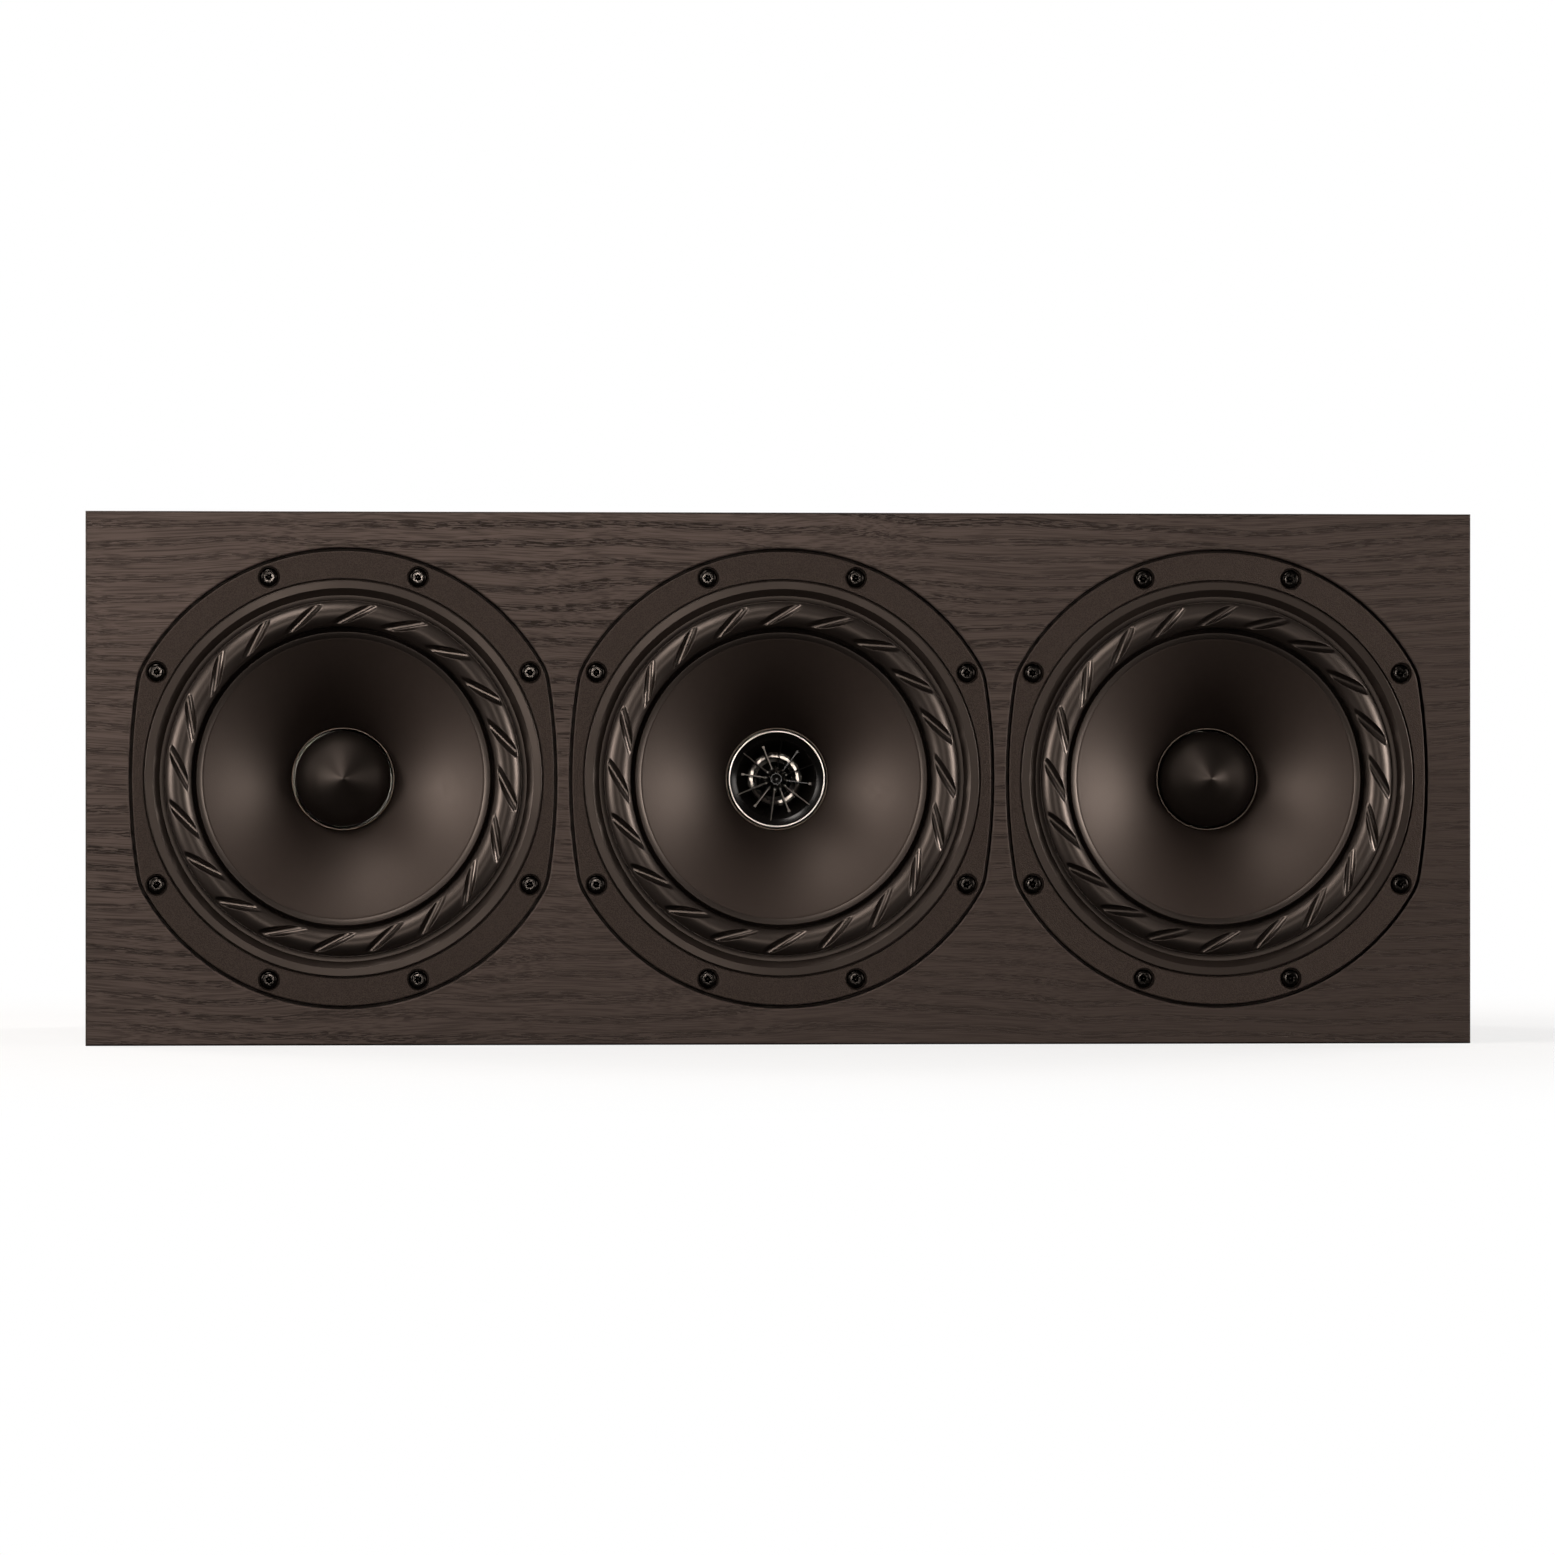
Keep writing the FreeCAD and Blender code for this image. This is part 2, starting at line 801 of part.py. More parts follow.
def make_terminal_screws():
    seat = back_y + terminal_thickness
    screws = []
    for x, z in terminal_screw_spots():
        head = rod(terminal_screw_head_radius, seat, seat + terminal_screw_head_height, x, z)
        head = head.makeFillet(screw_head_round, edges_on_plane(head, seat + terminal_screw_head_height))
        shank = rod(terminal_screw_radius, seat - terminal_screw_length, seat, x, z)
        screws.append(head.fuse(shank).removeSplitter())
    return Part.makeCompound(screws)


def make_binding_posts():
    """Two turned posts, each with a collar on the plate and a socket for a plug in its end."""
    plate = back_y + terminal_thickness
    end = plate + post_collar_height + post_length
    post = turned([
        (0, plate - post_tail),
        (post_radius, plate - post_tail),
        (post_radius, plate),
        (post_collar_radius, plate),
        (post_collar_radius, plate + post_collar_height),
        (post_radius, plate + post_collar_height),
        (post_radius, end),
        (banana_radius, end),
        (banana_radius, end - banana_depth),
        (0, end - banana_depth),
    ])
    return Part.makeCompound([moved(post, x, 0, axis_z) for x in post_places])


def make_post_nuts():
    """Hexagon nuts that hold the posts from inside the plate."""
    nuts = []
    for x in post_places:
        corners = []
        for i in range(7):
            angle = math.radians(60 * i)
            corners.append(V(
                x + post_nut_radius * math.cos(angle),
                back_y - post_nut_height,
                axis_z + post_nut_radius * math.sin(angle),
            ))
        nut = Part.Face(Part.makePolygon(corners)).extrude(V(0, post_nut_height, 0))
        nuts.append(nut.cut(rod(post_radius + knob_bore_gap, back_y - post_nut_height, back_y, x, axis_z)))
    return Part.makeCompound(nuts)


def make_washer(x):
    start = back_y + terminal_thickness + post_collar_height
    washer = ring(post_radius + knob_bore_gap, washer_radius, start, start + washer_thickness)
    return moved(washer, x, 0, axis_z)


def make_knob(x):
    """A fluted knob on the thread of a post."""
    start = back_y + terminal_thickness + post_collar_height + washer_thickness
    end = start + knob_length
    knob = rod(knob_radius, start, end)
    knob = knob.makeChamfer(knob_edge, edges_on_plane(knob, start) + edges_on_plane(knob, end))
    cuts = [rod(post_radius + knob_bore_gap, start, end)]
    for i in range(knob_flutes):
        angle = math.radians(360.0 / knob_flutes * i)
        place = (knob_radius * math.cos(angle), knob_radius * math.sin(angle))
        cuts.append(rod(knob_flute_radius, start, end, *place))
    return moved(knob.cut(cuts), x, 0, axis_z)


def make_crossover_board():
    """The circuit board on its four standoffs."""
    half = board_width / 2
    board = block((-half, half), (board_front, board_back), (board_top - board_thickness, board_top))
    for x in (-half + board_corner_inset, half - board_corner_inset):
        for y in (board_front + board_corner_inset, board_back - board_corner_inset):
            foot = Part.makeCylinder(board_standoff_radius, board_standoff, V(x, y, panel_thickness), ALONG_Z)
            board = board.fuse(foot)
    return board.removeSplitter()


def make_crossover_coils():
    y = board_front + board_corner_inset + coil_outer_radius
    coils = []
    for x in (-coil_spacing / 2, coil_spacing / 2):
        coil = Part.makeCylinder(coil_outer_radius, coil_height, V(x, y, board_top), ALONG_Z)
        coils.append(coil.cut(Part.makeCylinder(coil_inner_radius, coil_height, V(x, y, board_top), ALONG_Z)))
    return Part.makeCompound(coils)


def make_crossover_capacitors():
    z = board_top + capacitor_radius
    start = board_front + board_corner_inset + 2 * coil_outer_radius + capacitor_gap
    row = capacitor_spacing * (capacitor_count - 1)
    places = [capacitor_spacing * i - row / 2 for i in range(capacitor_count)]
    return Part.makeCompound([rod(capacitor_radius, start, start + capacitor_length, x, z) for x in places])


def lead(points):
    """A round lead along straight runs, with a tangent arc at each corner."""
    edges = []
    start = points[0]
    for corner, after in zip(points[1:], points[2:]):
        inward = (start - corner).normalize() * lead_bend
        outward = (after - corner).normalize() * lead_bend
        bisector = (inward + outward).normalize()
        half_turn = inward.getAngle(outward) / 2
        radius = lead_bend * math.tan(half_turn)
        middle = corner + bisector * (lead_bend / math.cos(half_turn) - radius)
        edges.append(Part.makeLine(start, corner + inward))
        edges.append(Part.Arc(corner + inward, middle, corner + outward).toShape())
        start = corner + outward
    edges.append(Part.makeLine(start, points[-1]))
    way = Part.Wire(edges)
    section = Part.Wire(Part.makeCircle(lead_radius, points[0], points[1] - points[0]))
    return way.makePipeShell([section], True, True)


def make_hookup_leads():
    """Leads from the posts to the board, and from the board to each driver and the tweeter."""
    seat_radius = spider_outer_radius + glue + basket_wall
    cup_y = front_y + (spider_depth + motor_depth) / 2
    middle_y = (board_front + board_back) / 2
    tail_y = back_y + terminal_thickness - post_tail
    rise_y = back_y - panel_thickness - board_back_gap / 2
    leads = []
    for x in post_places:
        leads.append([
            V(x, tail_y, axis_z),
            V(x, rise_y, axis_z),
            V(x, rise_y, board_top + lead_board_rise),
            V(x, board_back - lead_board_inset, board_top + lead_board_rise),
            V(x, board_back - lead_board_inset, board_top),
        ])
    for side in (-1, 1):
        edge = side * (board_width / 2 - board_corner_inset)
        near = side * (driver_pitch - seat_radius - lead_side_run)
        leads.append([
            V(edge, middle_y, board_top),
            V(edge, middle_y, axis_z),
            V(near, middle_y, axis_z),
            V(near, cup_y, axis_z),
            V(side * (driver_pitch - seat_radius), cup_y, axis_z),
        ])
    front_start = board_front + lead_board_inset
    cup_bottom = axis_z - seat_radius
    leads.append([
        V(0, front_start, board_top),
        V(0, front_start, cup_bottom - lead_board_rise),
        V(0, cup_y, cup_bottom - lead_board_rise),
        V(0, cup_y, cup_bottom),
    ])
    leads.append([
        V(0, middle_y - coil_outer_radius, board_top),
        V(0, middle_y - coil_outer_radius, axis_z),
        V(0, front_y + cup_end, axis_z),
    ])
    return Part.makeCompound([lead(points) for points in leads])


def save(name, shape):
    solids = shape.Solids
    good = shape.isValid() and all(solid.Volume > 0 for solid in solids)
    print(f"{name:26s} solids {len(solids):2d} volume {shape.Volume:12.1f} {'' if good else 'NOT VALID'}")
    shape.exportStep(f"parts/{name}.step")


def main():
    os.makedirs("parts", exist_ok=True)
    save("front_baffle", make_front_baffle())
    save("top_panel", make_top_panel())
    save("bottom_panel", make_bottom_panel())
    save("left_side_panel", make_side_panel(-1))
    save("right_side_panel", make_side_panel(1))
    save("back_panel", make_back_panel())
    save("left_brace", make_brace(-1))
    save("right_brace", make_brace(1))
    for name, x in driver_places.items():
        bore = cup_radius + cup_gap if name == "centre" else pole_vent_radius
        save(f"{name}_basket", on_axis(make_basket(), x))
        save(f"{name}_gasket", on_axis(make_gasket(), x))
        save(f"{name}_trim_ring", on_axis(make_trim_ring(), x))
        save(f"{name}_surround", on_axis(make_surround(name), x))
        save(f"{name}_cone", on_axis(make_cone(), x))
        save(f"{name}_voice_coil", on_axis(make_voice_coil(), x))
        save(f"{name}_spider", on_axis(make_spider(), x))
        save(f"{name}_top_plate", on_axis(make_top_plate(), x))
        save(f"{name}_magnet", on_axis(make_magnet(), x))
        save(f"{name}_yoke", on_axis(make_yoke(bore), x))
        if name != "centre":
            save(f"{name}_phase_plug", on_axis(make_phase_plug(), x))
    save("tweeter_horn", on_axis(make_tweeter_horn(), 0))
    save("tweeter_phase_plug", on_axis(make_tweeter_phase_plug(), 0))
    save("tweeter_dome", on_axis(make_tweeter_dome(), 0))
    save("tweeter_cup", on_axis(make_tweeter_cup(), 0))
    save("tweeter_magnet", on_axis(make_tweeter_magnet(), 0))
    save("driver_screws", make_driver_screws())
    save("left_port_tube", make_port_tube(-driver_pitch))
    save("right_port_tube", make_port_tube(driver_pitch))
    save("terminal_plate", make_terminal_plate())
    save("terminal_screws", make_terminal_screws())
    save("binding_posts", make_binding_posts())
    save("post_nuts", make_post_nuts())
    for name, x in zip(("positive", "negative"), post_places):
        save(f"{name}_washer", make_washer(x))
        save(f"{name}_knob", make_knob(x))
    save("crossover_board", make_crossover_board())
    save("crossover_coils", make_crossover_coils())
    save("crossover_capacitors", make_crossover_capacitors())
    save("hookup_leads", make_hookup_leads())


main()
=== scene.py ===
import json
import math

import bmesh
import bpy
import numpy as np
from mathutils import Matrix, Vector


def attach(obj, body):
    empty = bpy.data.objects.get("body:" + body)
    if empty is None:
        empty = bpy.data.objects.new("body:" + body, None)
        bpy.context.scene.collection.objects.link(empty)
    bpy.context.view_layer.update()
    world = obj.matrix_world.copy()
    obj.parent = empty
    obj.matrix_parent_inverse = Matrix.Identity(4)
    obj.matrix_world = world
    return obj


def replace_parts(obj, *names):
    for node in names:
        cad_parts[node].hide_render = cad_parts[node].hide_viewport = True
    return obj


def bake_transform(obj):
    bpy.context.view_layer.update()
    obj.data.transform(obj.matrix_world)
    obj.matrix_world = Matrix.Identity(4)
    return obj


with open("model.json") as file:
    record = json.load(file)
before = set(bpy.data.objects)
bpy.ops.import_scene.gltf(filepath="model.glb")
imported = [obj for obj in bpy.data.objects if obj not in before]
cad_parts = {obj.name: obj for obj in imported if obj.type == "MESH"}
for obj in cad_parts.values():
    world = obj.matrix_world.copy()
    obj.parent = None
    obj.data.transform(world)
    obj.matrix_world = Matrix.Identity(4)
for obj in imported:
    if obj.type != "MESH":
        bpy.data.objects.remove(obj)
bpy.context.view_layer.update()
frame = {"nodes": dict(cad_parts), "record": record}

# A horizontal loudspeaker with three drivers in one baffle.
# Sizes are in millimetres, in the part's own frame: X to the right, Y from front to back, Z up.
# A driver's depths are counted back from the front of the baffle, its angles clockwise from the top.
MM = 0.001
FRONT_Y = -130.0
BACK_Y = 130.0
AXIS_Z = 104.5
HALF_WIDTH = 272.6
DRIVER_PITCH = 172.0
DRIVERS = {"left": -DRIVER_PITCH, "centre": 0.0, "right": DRIVER_PITCH}
TURN = 2 * math.pi

# Surround, from the cone outwards
RUBBER = 1.0
FOOT_INNER = 55.2
FOOT_WIDTH = 4.4
FOOT_DROP = 2.0
FOOT_RIM = 2.4
RIM_SLOPE = 0.8
VALLEY_DROP = 2.0
CREASE_DROP = 0.55
ROLL_RADIUS = 5.0
ROLL_CENTRE = FOOT_INNER + FOOT_WIDTH + ROLL_RADIUS
ROLL_BASE = 3.0
ROLL_INNER = ROLL_CENTRE - ROLL_RADIUS
ROLL_OUTER = ROLL_CENTRE + ROLL_RADIUS
EDGE_OUTER = 77.4
FLUTES = 20
FLUTE_TILT = math.radians(32.0)
FLUTE_DEPTH = 2.3
FLUTE_HALF_WIDTH = 2.15
FLUTE_HOLLOW = 3.0
FLUTE_EDGE = 0.2
FLUTE_LEAST = 1.0
FLUTE_SEARCH_STEPS = 30
FLUTE_EDGE_SHARES = (-1.9, -1.0, -0.45, 0.0, 0.45, 1.0, 1.9)
RIDGE_STEPS = 5
HOLLOW_STEPS = 12
ROLL_STEPS = 42
ROLL_BACK_STEPS = 8
FLUTE_MARK_DEPTH = 0.5
HOLLOW_MARK = "hollow"
FLUTE_FIRST = {"left": 4.5, "centre": 0.0, "right": 0.3}

# Trim ring
TRIM_INNER = 71.8
TRIM_OUTER = 77.6
TRIM_SLOPE_WIDTH = 2.6
TRIM_SLOPE_DEPTH = 2.4
TRIM_ROUND = 0.35

# Cone, voice coil and spider
CONE_TOP = 6.2
CONE_RIM = 2.0
CONE_THICK = 1.0
CONE_BOW = 2.2
NECK_RADIUS = 20.4
NECK_DEPTH = 33.2
FORMER_RADIUS = 20.3
FORMER_BORE = 19.8
FORMER_FRONT = 32.6
WINDING_RADIUS = 21.1
WINDING_START = 51.2
WINDING_END = 63.2
SPIDER_OUTER = 49.0
SPIDER_LAND = 4.0
SPIDER_FRONT = 43.4
SPIDER_THICK = 0.8
SPIDER_WAVES = 5
SPIDER_WAVE = 1.6
SPIDER_INNER = 20.5

# Bullet phase plug
PLUG_RADIUS = 18.9
PLUG_APEX = 18.0
PLUG_TIP = (13.5, 26.0)
PLUG_SHOULDER = 31.0
PLUG_BOW = 0.39
PLUG_BLUNT = 0.25
PLUG_FLANK_STEPS = 24
PLUG_END = 54.2

# Tweeter
HORN_MOUTH = 32.0
HORN_WALL = 1.0
HORN_LIP_RADIUS = 19.2
HORN_LIP_WIDTH = 0.65
HORN_THROAT = (10.0, 47.0)
HORN_BOW = 1.6
HORN_SEAT = 52.2
HORN_LIP_DEPTH = 1.0
FINS = 12
FIN_FIRST = 8.0
FIN_THICK = 0.42
FIN_GAP = 0.2
FIN_ROOT = 2.4
FIN_ROOT_DROP = 3.5
FIN_LONG_DEPTH = 33.0
FIN_SHORT_DEPTH = 36.0
FIN_BASE = 46.3
HUB_RADIUS = 2.3
HUB_FRONT = 35.5
HUB_BASE = (7.0, 50.7)
BEAD_CIRCLE = 4.3
BEAD_RADIUS = 0.5
TIP_SIZE = 0.95
TIP_AHEAD = 0.3
TIP_BEHIND = 0.4
THROAT_RING_OUTER = 9.9
THROAT_RING_WIDTH = 1.3
THROAT_RING_FRONT = 47.1
THROAT_RING_BACK = 48.2

# Driver screws
SCREW_CIRCLE = 84.0
SCREW_ANGLES = (20.3, 60.3)
SCREW_HEAD = 3.6
SCREW_SINK = 0.5
SCREW_SEAT = 3.9
SCREW_CURVE = ((2.15, 0.02), (2.5, 0.10), (2.8, 0.22), (3.1, 0.42), (3.35, 0.7), (3.52, 1.0))
SCREW_CURVE_END = 1.4
SCREW_SIDES = 48
SCREW_TWIST = 37.0
SOCKET_RADIUS = 1.45
SOCKET_LOBE = 0.45
SOCKET_DEPTH = 2.0
SOCKET_CROWN = 1.3
CROWN_SHARE = 0.8
CROWN_STEPS = 8

# Ports, posts and knobs on the back
PORT_RADIUS = 24.0
PORT_WALL = 2.5
PORT_FLARE = 10.0
PORT_LIP = 3.0
PORT_LENGTH = 120.0
POSTS = {"positive": 9.5, "negative": -9.5}
KNOB_RADIUS = 7.4
KNOB_BORE = 3.1
KNOB_START = 138.0
KNOB_END = 152.5
KNOB_FLUTES = 12
KNOB_FLUTE_DEPTH = 1.0
KNOB_FLUTE_STEPS = 12
COLLAR_RADIUS = 6.8
GROOVE_RADIUS = 6.6
FACE_RADIUS = 4.4

# Steps round each turned piece
STEPS = {"cone": 240, "coil": 192, "spider": 120, "trim": 288, "plug": 192, "horn": 240, "throat": 144,
         "hub": 72, "port": 160}

# Finish and light
GRAIN_PITCH = 6.8
RECESS_START = 0.3
RECESS_INSET = (3.0, 2.0)
EDGE_LINE = (0.8, 0.4)
OUTLINE = (("X", 0.0, HALF_WIDTH), ("Z", AXIS_Z, AXIS_Z))
TURNING_PITCH = 2.159
AXIS_WAVE_TURN = 20.0
DIAGONAL_WAVE_TURN = 10.0
RANGE_SOCKETS = ("From Min", "From Max", "To Min", "To Max")
LAMP_COLOUR = (1.0, 0.94, 0.89)
WARM_GLOSS = (1.0, 0.82, 0.72)
WHITE = (1.0, 1.0, 1.0)
ROOM_LIGHT = (-0.1, 0.6, 0.02, 1.0)
ROOM_DIFFUSE = 0.55
FLOOR_REACH = 6.0


# Mesh helpers

def driver_point(x, radius, angle, depth):
    """A point on a driver in metres."""
    across = x + radius * math.sin(angle)
    return (across * MM, (FRONT_Y + depth) * MM, (AXIS_Z + radius * math.cos(angle)) * MM)


def add_piece(name, verts, faces, materials, body, crease=40.0):
    """A smooth-shaded mesh object that rides on a body."""
    mesh = bpy.data.meshes.new(name)
    mesh.from_pydata(verts, [], faces)
    shaped = bmesh.new()
    shaped.from_mesh(mesh)
    bmesh.ops.remove_doubles(shaped, verts=shaped.verts, dist=1e-7)
    bmesh.ops.recalc_face_normals(shaped, faces=shaped.faces)
    shaped.to_mesh(mesh)
    shaped.free()
    mesh.shade_smooth()
    mesh.set_sharp_from_angle(angle=math.radians(crease))
    for material in materials:
        mesh.materials.append(material)
    piece = bpy.data.objects.new(name, mesh)
    bpy.context.scene.collection.objects.link(piece)
    if body:
        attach(piece, body)
    return piece


def grid_faces(rows, columns, start=0):
    """Quads of a grid whose rows close up and whose columns close up."""
    faces = []
    for row in range(rows):
        for column in range(columns):
            along = (column + 1) % columns
            over = (row + 1) % rows
            faces.append((
                start + row * columns + column,
                start + row * columns + along,
                start + over * columns + along,
                start + over * columns + column,
            ))
    return faces


def lathe(profile, x, segments):
    """Vertices and faces of a closed (radius, depth) profile turned about a driver's axis."""
    verts = []
    for step in range(segments):
        angle = TURN * step / segments
        verts += [driver_point(x, radius, angle, depth) for radius, depth in profile]
    return verts, grid_faces(segments, len(profile))


def bowed(start, end, bow, steps):
    """Points of an arc whose middle lies off the straight line by bow, to its left."""
    run = Vector(end) - Vector(start)
    chord = run.length
    along = run / chord
    left = Vector((-along.y, along.x))
    half = 2 * math.atan2(2 * abs(bow), chord)
    radius = chord / (2 * math.sin(half))
    side = math.copysign(radius, bow)
    points = []
    for step in range(steps + 1):
        angle = half * (2 * step / steps - 1)
        ahead = chord / 2 + radius * math.sin(angle)
        off = side * (math.cos(angle) - math.cos(half))
        points.append(tuple(Vector(start) + along * ahead + left * off))
    return points


def softened(profile, radius, steps=4):
    """A closed profile with its sharp corners rounded, and a supporting point each side of them."""
    least_turn = math.radians(20)
    points = [Vector(point) for point in profile]
    rounded = []
    for index, corner in enumerate(points):
        back = points[index - 1] - corner
        ahead = points[(index + 1) % len(points)] - corner
        turn = math.pi - back.angle(ahead)
        if turn < least_turn or corner.x == 0:
            rounded.append(tuple(corner))
            continue
        cut = min(radius * math.tan(turn / 2), 0.4 * back.length, 0.4 * ahead.length)
        start = corner + back.normalized() * cut
        end = corner + ahead.normalized() * cut
        rounded.append(tuple(corner + back.normalized() * cut * 1.2))
        for step in range(steps + 1):
            t = step / steps
            rounded.append(tuple(start * (1 - t) ** 2 + corner * 2 * t * (1 - t) + end * t ** 2))
        rounded.append(tuple(corner + ahead.normalized() * cut * 1.2))
    return rounded


# Materials

class Nodes:
    """A node tree, with short methods that add nodes and return their outputs."""

    def __init__(self, tree):
        self.tree = tree

    def add(self, kind, **settings):
        node = self.tree.nodes.new("ShaderNode" + kind)
        for key, value in settings.items():
            setattr(node, key, value)
        return node

    def put(self, socket, value):
        """Links an output to a socket, or sets the socket to a number, place or colour."""
        if isinstance(value, bpy.types.NodeSocket):
            self.tree.links.new(value, socket)
        elif socket.type == "RGBA":
            socket.default_value = (*value, 1.0)
        else:
            socket.default_value = value

    def split(self, vector):
        node = self.add("SeparateXYZ")
        self.put(node.inputs["Vector"], vector)
        return node.outputs

    def math(self, operation, first, second=0.0):
        node = self.add("Math", operation=operation)
        self.put(node.inputs[0], first)
        self.put(node.inputs[1], second)
        return node.outputs[0]

    def vector(self, operation, *values):
        node = self.add("VectorMath", operation=operation)
        for socket, value in zip(node.inputs, values):
            self.put(socket, value)
        return node.outputs["Value" if operation in ("LENGTH", "DOT_PRODUCT") else "Vector"]

    def ramp(self, value, low, high, to_low=0.0, to_high=1.0):
        node = self.add("MapRange", interpolation_type="SMOOTHSTEP")
        self.put(node.inputs["Value"], value)
        for socket, number in zip(RANGE_SOCKETS, (low, high, to_low, to_high)):
            node.inputs[socket].default_value = number
        return node.outputs["Result"]

    def mix(self, factor, first, second, kind="Color"):
        """A colour between two others, or a number if its kind is Float."""
        node = self.add("Mix", data_type="RGBA" if kind == "Color" else "FLOAT")
        sockets = {socket.identifier: socket for socket in node.inputs}
        self.put(sockets["Factor_Float"], factor)
        self.put(sockets["A_" + kind], first)
        self.put(sockets["B_" + kind], second)
        return next(socket for socket in node.outputs if socket.identifier == "Result_" + kind)


class Finish(Nodes):
    """A Principled material and its textures."""

    def __init__(self, name, **constants):
        self.material = bpy.data.materials.new(name)
        self.material.use_nodes = True
        super().__init__(self.material.node_tree)
        self.shader = self.tree.nodes["Principled BSDF"]
        coordinates = self.add("TexCoord").outputs
        self.place = coordinates["Object"]
        self.normal = self.split(coordinates["Normal"])
        for key, value in constants.items():
            self.set(key.replace("_", " ").title().replace("Ior", "IOR"), value)

    def set(self, socket, value):
        self.put(self.shader.inputs[socket], value)

    def stretched(self, scale, place=None):
        node = self.add("Mapping")
        self.put(node.inputs["Vector"], place or self.place)
        node.inputs["Scale"].default_value = scale
        return node.outputs["Vector"]

    def noise(self, scale, stretch=(1, 1, 1), detail=2.0, place=None, output="Fac"):
        node = self.add("TexNoise")
        self.put(node.inputs["Vector"], self.stretched(stretch, place))
        node.inputs["Scale"].default_value = scale
        node.inputs["Detail"].default_value = detail
        return node.outputs[output]

    def cells(self, scale):
        node = self.add("TexVoronoi")
        self.put(node.inputs["Vector"], self.place)
        node.inputs["Scale"].default_value = scale
        return node.outputs["Distance"]

    def wave(self, direction, pitch_mm, place=None):
        """A sine wave along an axis, or along the diagonal of the axes."""
        node = self.add("TexWave", bands_direction=direction)
        self.put(node.inputs["Vector"], place or self.place)
        per_turn = DIAGONAL_WAVE_TURN if direction == "DIAGONAL" else AXIS_WAVE_TURN
        node.inputs["Scale"].default_value = TURN / per_turn / (pitch_mm * MM)
        return node.outputs["Fac"]

    def swayed(self, stretch, reach):
        """Places shifted by slow noise, for grain that wanders."""
        swing = self.noise(1.0, stretch, output="Color")
        return self.vector("MULTIPLY_ADD", swing, (reach, reach, reach), self.place)

    def outwards(self, near, far):
        """One outside the smaller of two insets from the cabinet's outline, zero inside the larger."""
        parts = self.split(self.place)
        shares = []
        for axis, middle, half in OUTLINE:
            off = self.math("ABSOLUTE", self.math("SUBTRACT", parts[axis], middle * MM))
            shares.append(self.ramp(off, (half - near) * MM, (half - far) * MM))
        return self.math("MAXIMUM", *shares)

    def near_edge(self):
        """One on the front face close to the outline of the cabinet, zero elsewhere."""
        front = self.ramp(self.normal["Y"], -0.8, -0.6, 1.0, 0.0)
        return self.math("MULTIPLY", self.outwards(*EDGE_LINE), front)

    def recess_shade(self):
        """One inside the recesses of the baffle, where their shade is painted black, zero on its outer
        faces.
        """
        start = FRONT_Y + RECESS_START
        behind = self.ramp(self.split(self.place)["Y"], start * MM, (start + RECESS_START) * MM)
        inner = self.math("SUBTRACT", 1.0, self.outwards(*RECESS_INSET))
        return self.math("MULTIPLY", behind, inner)

    def turn_on_ends(self):
        """Swaps the places' X and Z on faces that look left or right."""
        parts = self.split(self.place)
        turned = self.add("CombineXYZ")
        for socket, axis in zip("XYZ", "ZYX"):
            self.put(turned.inputs[socket], parts[axis])
        sideways = self.ramp(self.math("ABSOLUTE", self.normal["X"]), 0.6, 0.8)
        self.place = self.mix(sideways, self.place, turned.outputs["Vector"])

    def painted_light(self):
        """One towards the upper left of the cabinet, where painted light makes the veneer palest, zero at
        the other end.
        """
        return self.ramp(self.vector("DOT_PRODUCT", self.place, (-0.5, 0.0, 1.0)), -0.12, 0.38)

    def bump(self, height, depth_mm):
        node = self.add("Bump")
        self.put(node.inputs["Height"], height)
        node.inputs["Distance"].default_value = depth_mm * MM
        self.set("Normal", node.outputs["Normal"])


